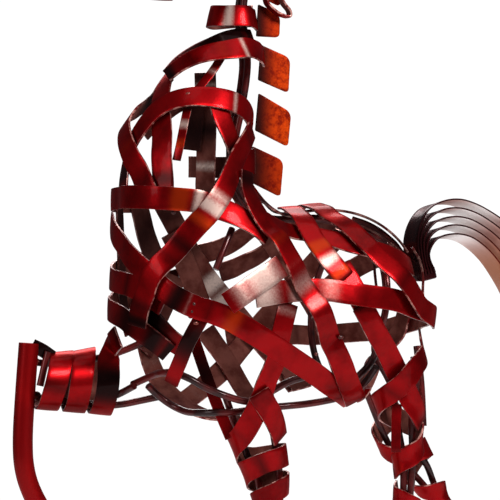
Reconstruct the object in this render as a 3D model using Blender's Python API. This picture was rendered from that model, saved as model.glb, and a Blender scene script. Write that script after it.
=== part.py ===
"""A prancing horse woven from iron strip over a cage of bent rod. It faces -X, its near side is -Y,
and it stands on three hooves with the far foreleg raised. Lengths are in millimetres until a mesh is made."""

import math

import bmesh
import bpy
import numpy as np

MM = 0.001

# Stock
STRIP_WIDTH = 9.2
STRIP_THICK = 1.0
ROD_RADIUS = 1.5
TUBE_RADIUS = 4.2
FIT_GAP = 0.3
WEAVE_PITCH = 1.75  # from one strip's middle to the next one's where they cross
BRACE_WIDTH = 6.0
STATION = 6.6  # spacing of the sections along a strip
ROD_SIDES = 6
TUBE_SIDES = 8

# The drawing plane stands upright through the body, turned toward the head, and the drawing is
# seen in perspective from the eye. U runs along the plane and V is the height on it.
VIEW_TURN = math.radians(25)
EYE_DISTANCE = 800.0
EYE_HEIGHT = 184.8

# The middle of the feet and body on the drawing's own ground
MIDDLE_X = 34.4
MIDDLE_Y = 0.2

ALONG = np.array([math.cos(VIEW_TURN), -math.sin(VIEW_TURN), 0.0])
TOWARD_EYE = np.array([-math.sin(VIEW_TURN), -math.cos(VIEW_TURN), 0.0])
EYE = EYE_DISTANCE * TOWARD_EYE + np.array([0.0, 0.0, EYE_HEIGHT])

# Body, as ellipsoids (centre, half sizes)
CHEST = ((-19.4, 0, 165), (36, 42, 50))
BARREL = ((8, 0, 156), (66, 40, 43))
RUMP = ((38.3, 0, 163), (37, 42, 38))
# Neck, as level ovals: height, middle x, half length, half width
NECK = (
    (150, -31.2, 25.2, 30.0),
    (170, -31.1, 25.1, 32.0),
    (190, -31.8, 26.8, 33.0),
    (210, -32.0, 26.0, 34.0),
    (227, -29.6, 24.4, 31.0),
    (242, -24.8, 22.5, 25.5),
    (248, -22.0, 21.0, 23.0),
    (255, -19.0, 18.7, 20.0),
    (265, -13.6, 14.9, 15.0),
    (275, -9.5, 8.8, 9.6),
    (281, -8.4, 7.2, 8.2),
    (290, -7.8, 7.0, 8.0),
    (300, -6.5, 7.4, 8.2),
)
TRUNK_BLEND = 9.0
LEG_BLEND = 6.0


def drawn(u, v, y):
    """The point at depth y that the eye sees at (u, v) of the drawing."""
    mark = u * ALONG + np.array([0.0, 0.0, v])
    ray = mark - EYE
    return EYE + ray * (y - EYE[1]) / ray[1]


# Legs, as stacks of balls (centre, radius) from the body down to the knee or hock
LEG_FORMS = {
    "near_fore": (
        (drawn(-1, 124, -18), 12.5),
        (drawn(2.9, 106, -17), 10.2),
        (drawn(6.3, 94.5, -16), 8.8),
        (drawn(9.0, 80, -14), 6.6),
        (drawn(9.4, 69, -13), 6.0),
    ),
    "near_hind": (
        (drawn(60.5, 140, -23), 11.5),
        (drawn(64.5, 128, -24), 8.3),
        (drawn(64.7, 114, -24), 6.5),
        (drawn(66.2, 97, -24), 5.2),
        (drawn(65.5, 76, -24), 4.5),
        (drawn(64.0, 60, -24), 4.5),
    ),
    "far_hind": (
        (drawn(57, 128, 20), 13.0),
        (drawn(63, 105, 22), 9.3),
        (drawn(69.5, 95, 22), 8.0),
        (drawn(77, 83, 23), 4.9),
        (drawn(80.5, 75, 23), 4.6),
        (drawn(82.5, 62, 23), 4.6),
    ),
    "far_fore": (
        (drawn(-38, 136, 16), 16.0),
        (drawn(-58, 130.2, 19), 13.8),
        (drawn(-72, 129.6, 20), 11.8),
        (drawn(-86, 129.6, 20), 10.6),
    ),
}

# Head, as a stack of balls from the cheek to the muzzle
HEAD = (
    (np.array([-10.5, 0, 312.5]), 15.0),
    (np.array([-29.0, 0, 309.0]), 10.5),
    (np.array([-46.0, 0, 305.0]), 7.6),
)


def ellipsoid_distance(points, centre, sizes):
    near = (points - np.array(centre, float)) / np.array(sizes, float)
    scaled = near / np.array(sizes, float)
    reach = np.linalg.norm(near, axis=-1)
    return reach * (reach - 1) / np.maximum(np.linalg.norm(scaled, axis=-1), 1e-9)


def neck_distance(points):
    heights, middles, lengths, widths = np.array(NECK, float).T
    z = points[..., 2]
    length = np.interp(z, heights, lengths)
    width = np.interp(z, heights, widths)
    u = (points[..., 0] - np.interp(z, heights, middles)) / length
    v = points[..., 1] / width
    reach = np.hypot(u, v)
    level = reach * (reach - 1) / np.maximum(np.hypot(u / length, v / width), 1e-9)
    return np.maximum(level, np.maximum(z - heights[-1] - 5, heights[0] - z))


def limb_distance(points, balls):
    best = np.full(points.shape[:-1], 1e6)
    for (start, start_r), (end, end_r) in zip(balls, balls[1:]):
        run = end - start
        share = np.clip((points - start) @ run / (run @ run), 0, 1)
        reach = np.linalg.norm(points - start - share[..., None] * run, axis=-1)
        best = np.minimum(best, reach - start_r - (end_r - start_r) * share)
    return best


def blend(first, second, width):
    share = np.clip(0.5 + 0.5 * (second - first) / width, 0, 1)
    return second + (first - second) * share - width * share * (1 - share)


def trunk_distance(points):
    body = ellipsoid_distance(points, *CHEST)
    for part in (BARREL, RUMP):
        body = blend(body, ellipsoid_distance(points, *part), TRUNK_BLEND)
    return blend(body, neck_distance(points), TRUNK_BLEND)


def body_distance(points):
    """Distance from points to the smooth body that the strips are laid on, negative inside."""
    body = trunk_distance(points)
    for balls in LEG_FORMS.values():
        body = blend(body, limb_distance(points, balls), LEG_BLEND)
    return body


def head_distance(points):
    return limb_distance(points, HEAD)


def form_normals(points, form=body_distance):
    step = 0.4
    slopes = [form(points + step * axis) - form(points - step * axis) for axis in np.eye(3)]
    normals = np.stack(slopes, axis=-1)
    return normals / np.maximum(np.linalg.norm(normals, axis=-1, keepdims=True), 1e-9)


def on_form(points, form=body_distance, rounds=6):
    for _ in range(rounds):
        points = points - form(points)[..., None] * form_normals(points, form)
    return points


def seen(marks, last=False, part=body_distance):
    """The surface of one part of the body where the sight lines through marks first, or last, meet it."""
    marks = np.array(marks, float)
    targets = marks[:, :1] * ALONG + marks[:, 1:] * np.array([0.0, 0.0, 1.0])
    rays = targets - EYE
    rays /= np.linalg.norm(rays, axis=1, keepdims=True)
    reaches = np.arange(EYE_DISTANCE - 90, EYE_DISTANCE + 90, 1.0)
    probes = EYE + reaches[None, :, None] * rays[:, None, :]
    depth = part(probes)
    found = []
    for row, distances in zip(probes, depth):
        inside = np.flatnonzero(distances < 0)
        if len(inside):
            found.append(row[inside[-1] if last else inside[0]])
        else:
            found.append(row[np.argmin(distances)])
    return on_form(np.array(found))


def near(*marks):
    return seen(marks)


def far(*marks):
    return seen(marks, last=True)


def on_leg(leg, *marks):
    return seen(marks, part=lambda points: limb_distance(points, LEG_FORMS[leg]))


def behind_leg(leg, *marks):
    return seen(marks, last=True, part=lambda points: limb_distance(points, LEG_FORMS[leg]))


def route(*stretches):
    return np.vstack(stretches)


def evenly(points, spacing, closed=False):
    """The points of a smooth curve through the given ones, at an even spacing."""
    if closed:
        padded = np.vstack([points[-1:], points, points[:2]])
    else:
        padded = np.vstack([2 * points[0] - points[1], points, 2 * points[-1] - points[-2]])
    fine = []
    for a, b, c, d in zip(padded, padded[1:], padded[2:], padded[3:]):
        for t in np.linspace(0, 1, 24, endpoint=False):
            bend = (2 * a - 5 * b + 4 * c - d) * t**2 + (3 * b - a - 3 * c + d) * t**3
            fine.append(0.5 * (2 * b + (c - a) * t + bend))
    fine.append(padded[-2])
    fine = np.array(fine)
    reach = np.concatenate([[0], np.cumsum(np.linalg.norm(np.diff(fine, axis=0), axis=1))])
    count = max(2, round(reach[-1] / spacing))
    marks = np.linspace(0, reach[-1], count + 1)
    even = np.stack([np.interp(marks, reach, column) for column in fine.T], axis=1)
    return even[:-1] if closed else even


def softened(rows, closed=False, rounds=1):
    for _ in range(rounds):
        before = np.vstack([rows[-1:] if closed else rows[:1], rows[:-1]])
        after = np.vstack([rows[1:], rows[:1] if closed else rows[-1:]])
        rows = (before + 2 * rows + after) / 4
    return rows


def unit(rows):
    return rows / np.maximum(np.linalg.norm(rows, axis=-1, keepdims=True), 1e-9)


def tangents(points, closed=False):
    if closed:
        return unit(np.roll(points, -1, axis=0) - np.roll(points, 1, axis=0))
    return unit(np.gradient(points, axis=0))


def laid_path(waypoints, form, closed=False):
    """A strip's stations on the body, with the direction out of the body and the one across the strip."""
    points = on_form(evenly(waypoints, 2.0, closed), form)
    points = on_form(evenly(points, STATION, closed), form)
    ups = unit(softened(form_normals(points, form), closed, 2))
    ahead = tangents(points, closed)
    across = unit(np.cross(ahead, ups))
    return points, unit(np.cross(across, ahead)), across


def between(rows, closed, pieces):
    """Rows at even shares between neighbouring rows."""
    ends = np.vstack([rows[1:], rows[:1]]) if closed else rows[1:]
    starts = rows if closed else rows[:-1]
    shares = np.arange(pieces) / pieces
    filled = starts[:, None] + shares[None, :, None] * (ends - starts)[:, None]
    filled = filled.reshape(-1, rows.shape[1])
    return filled if closed else np.vstack([filled, rows[-1:]])


LOWEST_LIFT = STRIP_THICK / 2 + FIT_GAP
laid_strips = []


def lifts_needed(points, ups, across, width, closed):
    """How far each station rises so that the strip passes over those laid before it."""
    pieces = 4
    probes = between(points, closed, pieces)
    probe_ups = unit(between(ups, closed, pieces))
    probe_across = unit(between(across, closed, pieces))
    needed = np.full(len(probes), LOWEST_LIFT)
    for share in (-0.5, -0.25, 0, 0.25, 0.5):
        spots = probes + probe_across * width * share
        for under in laid_strips:
            starts, runs = under["starts"], under["runs"]
            lengths = np.linalg.norm(runs, axis=1)
            ahead = runs / lengths[:, None]
            offset = spots[:, None] - starts[None]
            along = np.einsum("ijk,jk->ij", offset, ahead) / lengths
            sideways = np.einsum("ijk,jk->ij", offset, under["across"])
            height = np.einsum("ijk,jk->ij", offset, under["ups"])
            facing = np.einsum("ik,jk->ij", probe_ups, under["ups"])
            beneath = (
                (along > -0.08)
                & (along < 1.08)
                & (np.abs(sideways) < under["width"] / 2 + 0.7)
                & (np.abs(height) < 7)
                & (facing > 0.3)
            )
            rise = np.where(beneath, (WEAVE_PITCH - height) / np.maximum(facing, 0.5), 0)
            needed = np.maximum(needed, rise.max(axis=1))
    rows = np.arange(len(probes)) / pieces
    lifts = np.full(len(points), LOWEST_LIFT)
    for row, lift in zip(rows, needed):
        for station in (math.floor(row), math.ceil(row)):
            station = station % len(points) if closed else min(station, len(points) - 1)
            lifts[station] = max(lifts[station], lift)
    return lifts


def eased(lifts, closed):
    """Rises spread out, so that a strip ramps up to a crossing and down again."""
    reach = 16.0
    count = len(lifts)
    places = np.arange(count)
    apart = np.abs(places[:, None] - places[None])
    if closed:
        apart = np.minimum(apart, count - apart)
    share = np.clip(apart * STATION / reach, 0, 1)
    weight = 0.5 + 0.5 * np.cos(math.pi * share)
    extra = (lifts - LOWEST_LIFT)[None] * weight
    return LOWEST_LIFT + extra.max(axis=1)


def lay(waypoints, form=body_distance, width=STRIP_WIDTH, closed=False):
    """Lays a strip on the body over those laid before, and returns its sections."""
    points, ups, across = laid_path(waypoints, form, closed)
    lifts = eased(lifts_needed(points, ups, across, width, closed), closed)
    middles = points + ups * lifts[:, None]
    ends = np.vstack([middles[1:], middles[:1]]) if closed else middles[1:]
    starts = middles if closed else middles[:-1]
    laid_strips.append(
        {
            "starts": starts,
            "runs": ends - starts,
            "ups": ups[: len(starts)],
            "across": across[: len(starts)],
            "width": width,
        }
    )
    return middles, ups, across


# Meshes


def finish(metal):
    """The material for a kind of metal surface."""
    colour, roughness, metallic = FINISHES[metal]
    made = bpy.data.materials.get(metal) or bpy.data.materials.new(metal)
    made.use_nodes = True
    shader = made.node_tree.nodes["Principled BSDF"]
    shader.inputs["Base Color"].default_value = (*colour, 1)
    shader.inputs["Roughness"].default_value = roughness
    shader.inputs["Metallic"].default_value = metallic
    return made


FINISHES = {
    "red_lacquer": ((0.36, 0.012, 0.010), 0.3, 0.4),
    "dark_rod": ((0.035, 0.012, 0.010), 0.35, 0.5),
    "mane_lacquer": ((0.48, 0.075, 0.012), 0.45, 0.3),
    "tail_lacquer": ((0.06, 0.010, 0.012), 0.3, 0.4),
}


def new_object(name, bm, metal):
    bmesh.ops.recalc_face_normals(bm, faces=bm.faces)
    mesh = bpy.data.meshes.new(name)
    bm.to_mesh(mesh)
    bm.free()
    made = bpy.data.objects.new(name, mesh)
    bpy.context.scene.collection.objects.link(made)
    mesh.materials.append(finish(metal))
    return made


def placed(point):
    return ((point[0] - MIDDLE_X) * MM, (point[1] - MIDDLE_Y) * MM, point[2] * MM)


def folded_faces(bm, first, second):
    """The sides between two sections of a sheet, both skins folded outward along one diagonal."""
    outward = first[3].co + second[3].co - first[0].co - second[0].co
    fold = (first[0].co + second[1].co - first[1].co - second[0].co).dot(outward) > 0
    for i in range(4):
        j = (i + 1) % 4
        if fold == (i < 2):
            halves = ((first[i], first[j], second[j]), (first[i], second[j], second[i]))
        else:
            halves = ((first[i], first[j], second[i]), (first[j], second[j], second[i]))
        for half in halves:
            bm.faces.new(half)


def swept(name, sections, metal, closed=False):
    """A solid through closed sections that all have the same number of corners."""
    bm = bmesh.new()
    rings = [[bm.verts.new(placed(corner)) for corner in section] for section in sections]
    nexts = rings[1:] + rings[:1] if closed else rings[1:]
    for first, second in zip(rings, nexts):
        if len(first) == 4:
            folded_faces(bm, first, second)
            continue
        for i in range(len(first)):
            j = (i + 1) % len(first)
            bm.faces.new((first[i], first[j], second[j], second[i]))
    if not closed:
        bm.faces.new(rings[0])
        bm.faces.new(rings[-1])
    return new_object(name, bm, metal)


def ribbon_sections(middles, ups, across, width, thick=STRIP_THICK):
    corners = ((-0.5, -0.5), (0.5, -0.5), (0.5, 0.5), (-0.5, 0.5))
    widths = np.broadcast_to(width, len(middles))
    return [
        [m + a * w * s + u * thick * t for s, t in corners]
        for m, u, a, w in zip(middles, ups, across, widths)
    ]


def ribbon(name, laid, metal="red_lacquer", width=STRIP_WIDTH, closed=False):
    return swept(name, ribbon_sections(*laid, width), metal, closed)


def round_sections(points, radii, sides, closed=False):
    """Level-turning rings about a path, each square to it."""
    ahead = tangents(points, closed)
    side = unit(np.cross(ahead[0], [0.31, 0.17, 0.93]))
    sections = []
    for point, run, radius in zip(points, ahead, np.broadcast_to(radii, len(points))):
        side = unit(side - run * (side @ run))
        lift = np.cross(run, side)
        turns = 2 * math.pi * np.arange(sides) / sides
        sections.append([point + radius * (math.cos(t) * side + math.sin(t) * lift) for t in turns])
    return sections


def rod(name, points, metal="dark_rod", radii=ROD_RADIUS, sides=ROD_SIDES, closed=False):
    sections = round_sections(points, radii, sides, closed)
    if closed:
        # A turning frame doesn't come back to where it began, so the last rings share out the difference
        sections = matched(sections)
    return swept(name, sections, metal, closed)


def matched(sections):
    """Each ring's corners renumbered to lie nearest those of the ring before."""
    out = [sections[0]]
    for section in sections[1:] + sections[:1]:
        rows = np.array(section)
        turns = [np.linalg.norm(np.roll(rows, k, axis=0) - np.array(out[-1])) for k in range(len(rows))]
        out.append(list(np.roll(rows, int(np.argmin(turns)), axis=0)))
    return out[:-1]


def inside_form(waypoints, depth, spacing, closed=False, form=body_distance):
    return inward(on_form(evenly(waypoints, spacing, closed), form), depth, form)


def joined(name, pieces):
    """One body made of overlapping pieces."""
    body = pieces[0]
    for other in pieces[1:]:
        union = body.modifiers.new("Union", "BOOLEAN")
        union.operation = "UNION"
        union.solver = "EXACT"
        union.object = other
        other.hide_render = True
        other.display_type = "WIRE"
    body.name = name
    return body


ROD_DEPTH = ROD_RADIUS + FIT_GAP
HOOP_DEPTH = ROD_DEPTH + 2 * ROD_RADIUS + FIT_GAP
SPINE_SPREAD = 2.5
LEG_ROD_DEPTH = 3.2


def make_rods():
    back = [
        (2.5, 288), (2.5, 278), (0.5, 262), (-2, 246), (-4, 228), (-5, 212), (8, 201), (34, 200), (60, 193), (71, 184),
    ]
    line = on_form(np.array([(x, -SPINE_SPREAD, z) for x, z in back], float))
    line -= form_normals(line) * (ROD_DEPTH + 1.2)
    line[:, 1] = -SPINE_SPREAD
    line = np.vstack([
        [(-3.5, -SPINE_SPREAD, 320), (-1.5, -SPINE_SPREAD, 304)],
        line,
        [(74.4, -SPINE_SPREAD, 177)],
    ])
    loop = np.vstack([line, (line * (1, -1, 1))[::-1]])
    rod("spine_rod", evenly(loop, 8.0, closed=True), closed=True)
    belly = [
        (-50.4, 124), (-41, 119.5), (-31.5, 116), (-21, 115), (-10.5, 115.2), (5, 116.6), (21, 118.2),
        (33, 120.2), (42, 122.8), (49, 128), (54, 134.5),
    ]
    belly = seen(belly, part=trunk_distance)
    line = inside_form(belly, ROD_DEPTH, 8.0, form=trunk_distance)
    # It passes outside the near foreleg's front rod
    line[:, 1] -= 2.2 * np.exp(-(((line[:, 0] + 17) / 9) ** 2))
    rod("belly_rod", line)
    brace = near(
        (-49, 126), (-42, 129.5), (-37, 130.4), (-30.2, 129.2), (-23.3, 125.6), (-17.4, 122), (-10.5, 119.6),
        (-2.9, 119), (9.2, 121.5), (25.2, 128.5),
    )
    rod("breast_rod", inside_form(brace, HOOP_DEPTH, 8.0))
    turns = np.linspace(0, 2 * math.pi, 16, endpoint=False)
    hoop = [(45 + 4 * math.cos(t), 30 * math.sin(t), 160 + 30 * math.cos(t)) for t in turns]
    rod("hip_hoop", inside_form(np.array(hoop), HOOP_DEPTH + 1.8, 8.0, closed=True), closed=True)


def make_first_strips():
    """The strips lowest in the weave, most of them on the far side."""
    ribbon("back_strip_low", lay(near(
        (2.1, 198.7), (12.6, 193.6), (23.1, 190.7), (33.6, 189), (44.1, 186.1), (52.5, 184), (60.9, 181.4),
        (67.2, 177.2),
    )))
    ribbon("back_strip_top", lay(near(
        (-1.7, 210.8), (5, 205.8), (13, 201.6), (21, 200.3), (27.3, 202), (39.9, 200.5), (53.8, 197.5), (63, 189),
        (68, 184.8),
    )))
    ribbon("neck_inner_strip", lay(far((-18.6, 259), (-18.8, 246), (-19, 232), (-19, 218), (-18.6, 205))))
    ribbon("far_belly_strip", lay(far((-45, 156), (-42, 141), (-34, 126), (-20, 117), (-4, 115))))
    ribbon("far_shoulder_strip", lay(far(
        (-37.5, 207), (-31.5, 195.5), (-25.2, 183.7), (-18, 173), (-11.8, 165.5), (0, 152), (12, 138), (20, 127),
    )))
    ribbon("far_rib_strip", lay(far(
        (-30.2, 122), (-21, 127), (-11.8, 134.4), (-4.2, 142.8), (5, 153.3), (16, 166), (28, 180), (40, 192),
    )))
    ribbon("far_rump_strip", lay(far((30, 166), (39.9, 174.3), (51.2, 180.6), (60, 184))))
    ribbon("far_neck_arch", lay(far(
        (-44, 233), (-38.6, 239.4), (-31.5, 244.9), (-25.2, 247.8), (-19.7, 248.4), (-12.6, 247.3), (-6, 244),
    )))
    ribbon("far_withers_sweep", lay(far(
        (-8, 212), (-1.7, 202.4), (5, 194), (11.8, 184.8), (18.5, 174.7), (24.8, 165.5), (30.7, 154.6),
        (35.7, 142.8), (39.9, 131),
    )))
    ribbon("far_shoulder_sweep", lay(far(
        (-8, 228), (-10.1, 215.5), (-15.5, 205.8), (-19.7, 198.2), (-25.2, 191.1), (-31.5, 182.7),
        (-37.8, 174.3), (-43, 166), (-46, 158),
    )))
    ribbon("neck_back_strip", lay(far((-27, 219.7), (-16, 219.7), (-8, 220), (-3, 220.5))))


def make_near_strips():
    """The strips seen on the near side, from the lowest in the weave to the top one."""
    brace = near((-20.5, 156), (-25.4, 147), (-29.6, 137), (-32.6, 129.5))
    ribbon("breast_brace", lay(brace, width=BRACE_WIDTH), width=BRACE_WIDTH)
    ribbon("foreleg_strip", lay(route(
        near((15.5, 162.5), (12.6, 151.2), (10.9, 142), (7.6, 132.3), (2.1, 117.6), (-2.1, 108.5), (-6.5, 101.5)),
        far((0, 97.5), (8, 98), (14, 99)),
        near((14, 98.5), (6, 95.8), (-1.5, 92)),
        far((1, 88.5), (8, 87.5), (14, 87.5)),
        near((15, 86.5), (10, 83.5), (4, 79.5)),
        far((5, 76.5), (10, 75), (14, 75)),
        near((14.5, 74), (9, 71), (4.5, 68)),
    )))
    ribbon("foreleg_inner_strip", lay(near((2.5, 126), (5.5, 119.7), (9.2, 111.3), (11.2, 105.5))))
    ribbon("flank_strip", lay(near(
        (46.6, 161.7), (52.5, 150.4), (58, 140.7), (63, 131), (67.2, 121.8), (71, 112.1),
    )))
    ribbon("croup_strip", lay(near((67.2, 185.6), (70.6, 177.2), (73.5, 169.3), (75.2, 161.7))))
    ribbon("chest_strip_low", lay(route(
        near((-33.6, 142), (-39.9, 147), (-47, 152), (-54.6, 157.5)),
        far((-50, 164), (-40, 168), (-28, 172)),
    )))
    ribbon("chest_strip_middle", lay(route(
        near((-35.7, 161.7), (-44.1, 167.2), (-51.2, 170.5), (-57.5, 172.6)),
        far(
            (-53, 177), (-40, 179), (-28, 180), (-16, 182.7), (-6.3, 186.9), (3.4, 191.1), (16, 195), (34, 193),
            (48, 187.5), (60, 179),
        ),
    )))
    ribbon("belly_sweep_strip", lay(route(
        near(
            (-59.2, 196.6), (-51.7, 186.1), (-42.8, 176.4), (-33.6, 167.2), (-23.1, 161.3), (-11.8, 157.5),
            (0, 150.8), (10.5, 144.1), (23.1, 136.1), (33.6, 128.5), (41, 123.2),
        ),
        far((46, 126), (51.2, 134), (58.8, 147), (63.8, 157.5), (66, 168)),
    )))
    ribbon("neck_front_strip", lay(near(
        (-32, 259.5), (-35.2, 254.2), (-36.8, 247.8), (-36.6, 240), (-36.4, 232), (-36.4, 223), (-36.0, 213),
        (-35.8, 206),
    )))
    ribbon("neck_arch_strip", lay(near(
        (-49, 226.5), (-45, 232.3), (-38.9, 239.7), (-31.9, 244.7), (-25.4, 247.4), (-19.7, 248.4), (-12.6, 247.8),
        (-5, 245.3), (-1, 240.7), (0.5, 234.9),
    )))
    ribbon("breast_front_strip", lay(route(
        far((-32.5, 257.5), (-37.5, 251.8), (-42, 246)),
        near((-46.7, 240.5), (-48.6, 233.8), (-48, 227.6), (-45.2, 219.8), (-42.4, 213), (-39.8, 206.5)),
    )))
    ribbon("chest_band", lay(route(
        near(
            (6.3, 189), (-2.1, 195.7), (-10.5, 200.8), (-14.7, 202.4), (-19.7, 204.5), (-26, 205.8),
            (-35.7, 206.6), (-47.5, 206.9), (-58.3, 205.8),
        ),
        far((-54, 205), (-45, 205)),
    )))
    ribbon("shoulder_sweep_strip", lay(near(
        (-1.7, 235.2), (-5.5, 224.7), (-10.1, 215.5), (-15.5, 205.8), (-19.7, 198.2), (-25.2, 191.1),
        (-31.5, 182.7), (-37.8, 174.3), (-40.7, 167.2), (-42.8, 160), (-44.2, 153),
    )))
    ribbon("loin_strip", lay(near((16, 200.3), (21.8, 193.2), (27.7, 184.8), (33.6, 178.5), (39.9, 172.2))))
    ribbon("barrel_band", lay(route(
        near((1.0, 165.2), (14.7, 167.2), (28.1, 167.2), (44.1, 165.5), (58.8, 163.8), (69.3, 160)),
        far((67, 156), (52.5, 151.6), (37.8, 151.2), (21, 150.4), (6.3, 150.4), (-8, 149)),
    )))
    ribbon("barrel_patch", lay(near((10, 177), (0, 169.5), (-10.5, 162.2))))
    ribbon("rump_strip", lay(route(
        far((-12.2, 174.3), (-2.1, 177.7), (7.1, 181.5), (15, 189), (20, 197)),
        near(
            (26, 202.4), (33.6, 197.4), (42, 191.1), (50.4, 182.7), (58.8, 173), (65.1, 165.1), (69.5, 159.5),
            (72.6, 156.6),
        ),
    )))
    ribbon("thigh_strip", lay(route(
        near((73.8, 150), (71.4, 144.4), (67.2, 136.5), (63, 129.5)),
        on_leg("near_hind", (59.5, 124.5), (57.6, 119.5)),
        behind_leg("near_hind", (60, 115.5), (66, 112), (70.5, 109)),
        on_leg("near_hind", (71.6, 104.5), (67.5, 99), (61.5, 94.2)),
        behind_leg("near_hind", (61.5, 92.5)),
    )))
    ribbon("withers_sweep_strip", lay(near(
        (-4.2, 217.6), (-4.2, 212.1), (-1.9, 202), (4, 192.8), (10.2, 182.8), (16.6, 173), (23.2, 163.8),
        (29.8, 153.4), (35.4, 142), (39.9, 131), (42.8, 123.9),
    )))
    ribbon("neck_dark_strip", lay(near(
        (0.5, 272.6), (-6, 272.8), (-12.5, 271.4), (-18.8, 268.6), (-24, 265), (-29, 261), (-32.5, 257.2),
    )))
    ribbon("neck_collar", lay(near(
        (4.8, 265.4), (0, 267.1), (-5, 267.3), (-10.6, 265.6), (-16, 264.4), (-23.1, 261), (-29.5, 256.8),
        (-32.4, 254.6),
    )))
    ribbon("throat_ring", lay(route(
        near((1.0, 280.6), (-5, 281.2), (-12, 281.4)),
        far((-12, 282), (-5, 283), (1, 283)),
    )))


def coil_route(balls, turns, start_turn, begin=0.0, spare=0.0):
    """A route that winds about a limb, from begin past its first ball to spare short of its last."""
    centres = np.array([centre for centre, _ in balls])
    radii = np.array([radius for _, radius in balls])
    reach = np.concatenate([[0], np.cumsum(np.linalg.norm(np.diff(centres, axis=0), axis=1))])
    count = round(abs(turns) * 12)
    places = np.linspace(begin, reach[-1] - spare, count + 1)
    axis = np.stack([np.interp(places, reach, column) for column in centres.T], axis=1)
    radius = np.interp(places, reach, radii)
    run = tangents(axis)
    side = unit(np.cross(run, [0.0, 1.0, 0.0]))
    front = np.cross(side, run)
    turn = 2 * math.pi * (start_turn + turns * np.arange(count + 1) / count)
    return axis + radius[:, None] * (np.cos(turn)[:, None] * front + np.sin(turn)[:, None] * side)


HOOF_HEIGHT = 12.0
HOOF_HALF_LENGTH = 10.5
HOOF_HALF_WIDTH = 9.0
HOOF_SET_BACK = 1.8


def hoof(name, foot, swing=0.0):
    """A hoof with a flat sole at foot, narrower at the top and leaning back, swung about Y by swing."""
    corners = 12
    levels = ((0.0, 1.0), (0.25, 0.98), (1.0, 0.72))
    rings = []
    for level, size in levels:
        ring = []
        for i in range(corners):
            t = 2 * math.pi * i / corners
            x = size * HOOF_HALF_LENGTH * math.cos(t) + HOOF_SET_BACK * level
            y = size * HOOF_HALF_WIDTH * math.sin(t)
            z = level * HOOF_HEIGHT
            across = x * math.cos(swing) - z * math.sin(swing)
            upward = z * math.cos(swing) + x * math.sin(swing)
            ring.append(np.array(foot) + (across, y, upward))
        rings.append(ring)
    return swept(name, rings, "red_lacquer")


def leg_frame(name, tube_points, rod_lines):
    """A leg's tube, with the rods that run up from its top into the body."""
    pieces = [rod(name, evenly(np.array(tube_points), 7.0), "red_lacquer", TUBE_RADIUS, TUBE_SIDES)]
    top = np.array(tube_points[0], float)
    down = unit(np.array(tube_points[1], float) - top)
    for number, line in enumerate(rod_lines):
        lean = unit(line[-1] - top) * 1.6
        line = np.vstack([line, top + down * 1.0 + lean, top + down * 7.0 + lean * 0.7])
        pieces.append(rod(f"{name}_rod_{number}", evenly(line, 8.0)))
    return joined(name, pieces)


def standing_leg(name, balls, foot, below):
    """A leg's frame, from two rods inside the body to the hoof at foot, through the given points."""
    rods = []
    for side in (-1, 1):
        rods.append(np.array([centre + side * (radius - LEG_ROD_DEPTH) * ALONG for centre, radius in balls]))
    landing = np.array(foot) + (HOOF_SET_BACK, 0, HOOF_HEIGHT + FIT_GAP)
    tube = [balls[-1][0] + (0, 0, 4), *[np.array(point, float) for point in below], landing + (0, 0, 5), landing]
    leg_frame(name + "leg_tube", tube, rods)
    hoof(name + "_hoof", foot)


def make_legs():
    below = [(4, -13, 60), (-9, -7, 32), (-14, -3.8, 24)]
    standing_leg("near_fore", LEG_FORMS["near_fore"], (-18.0, -2.0, 0.0), below)
    below = [(60.5, -24, 50), (60, -24, 36), (58.5, -24, 25)]
    standing_leg("near_hind", LEG_FORMS["near_hind"], (56.0, -24.0, 0.0), below)
    below = [(104, 23, 48), (104.5, 23, 36), (104, 23, 25)]
    standing_leg("far_hind", LEG_FORMS["far_hind"], (101.0, 23.0, 0.0), below)
    ribbon("near_hindleg_winding", lay(route(
        behind_leg("near_hind", (63, 84)),
        on_leg("near_hind", (60.8, 82.6), (65, 79), (69.6, 75.5)),
        behind_leg("near_hind", (70, 73.5), (65, 71.5), (60.5, 70)),
        on_leg("near_hind", (60, 69)),
    )))
    ribbon("far_hindleg_winding", lay(coil_route(LEG_FORMS["far_hind"], -2.15, 1.15, 17.0, 15.0)))

    far_fore = LEG_FORMS["far_fore"]
    cannon = np.array([drawn(u, v, 20) for u, v in (
        (-92.9, 145.7), (-94.4, 125), (-95.4, 107), (-95.0, 95), (-92.8, 86), (-88.5, 77), (-82, 68), (-76, 60),
    )])
    pieces = [rod("far_foreleg_tube", evenly(cannon, 7.0), "red_lacquer", TUBE_RADIUS, TUBE_SIDES)]
    for lift in (1, -1):
        line = [centre + (0, 0, lift * (radius - LEG_ROD_DEPTH)) for centre, radius in far_fore]
        line.append(drawn(-92.5, 131 + lift * 7, 20))
        pieces.append(rod(f"far_foreleg_rod_{lift}", evenly(np.array(line), 8.0)))
    joined("far_foreleg_tube", pieces)
    ribbon("far_foreleg_winding", lay(route(
        near((-52.6, 149), (-55.6, 145.8), (-58, 142), (-59.4, 136.5), (-59.8, 128), (-62, 119)),
        behind_leg("far_fore", (-64, 119), (-66.4, 129), (-68.6, 138.5)),
        near((-69.4, 140), (-71.2, 129.5), (-73.4, 119)),
        behind_leg("far_fore", (-74.6, 120), (-76.6, 129.5), (-78.4, 138.5)),
        near((-79, 139.5), (-81.4, 129.5), (-84.4, 120.5)),
        behind_leg("far_fore", (-86, 123)),
    )))
    run = unit(cannon[-1] - cannon[-2])
    swing = -math.atan2(run[0], -run[2])
    lean = np.array([math.cos(swing), 0, math.sin(swing)])
    hoof("far_fore_hoof", cannon[-1] + run * (HOOF_HEIGHT + FIT_GAP) - lean * HOOF_SET_BACK, swing)


def inward(points, depth, form=body_distance):
    return points - form_normals(points, form) * depth


MANE_THICK = 1.0
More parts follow.
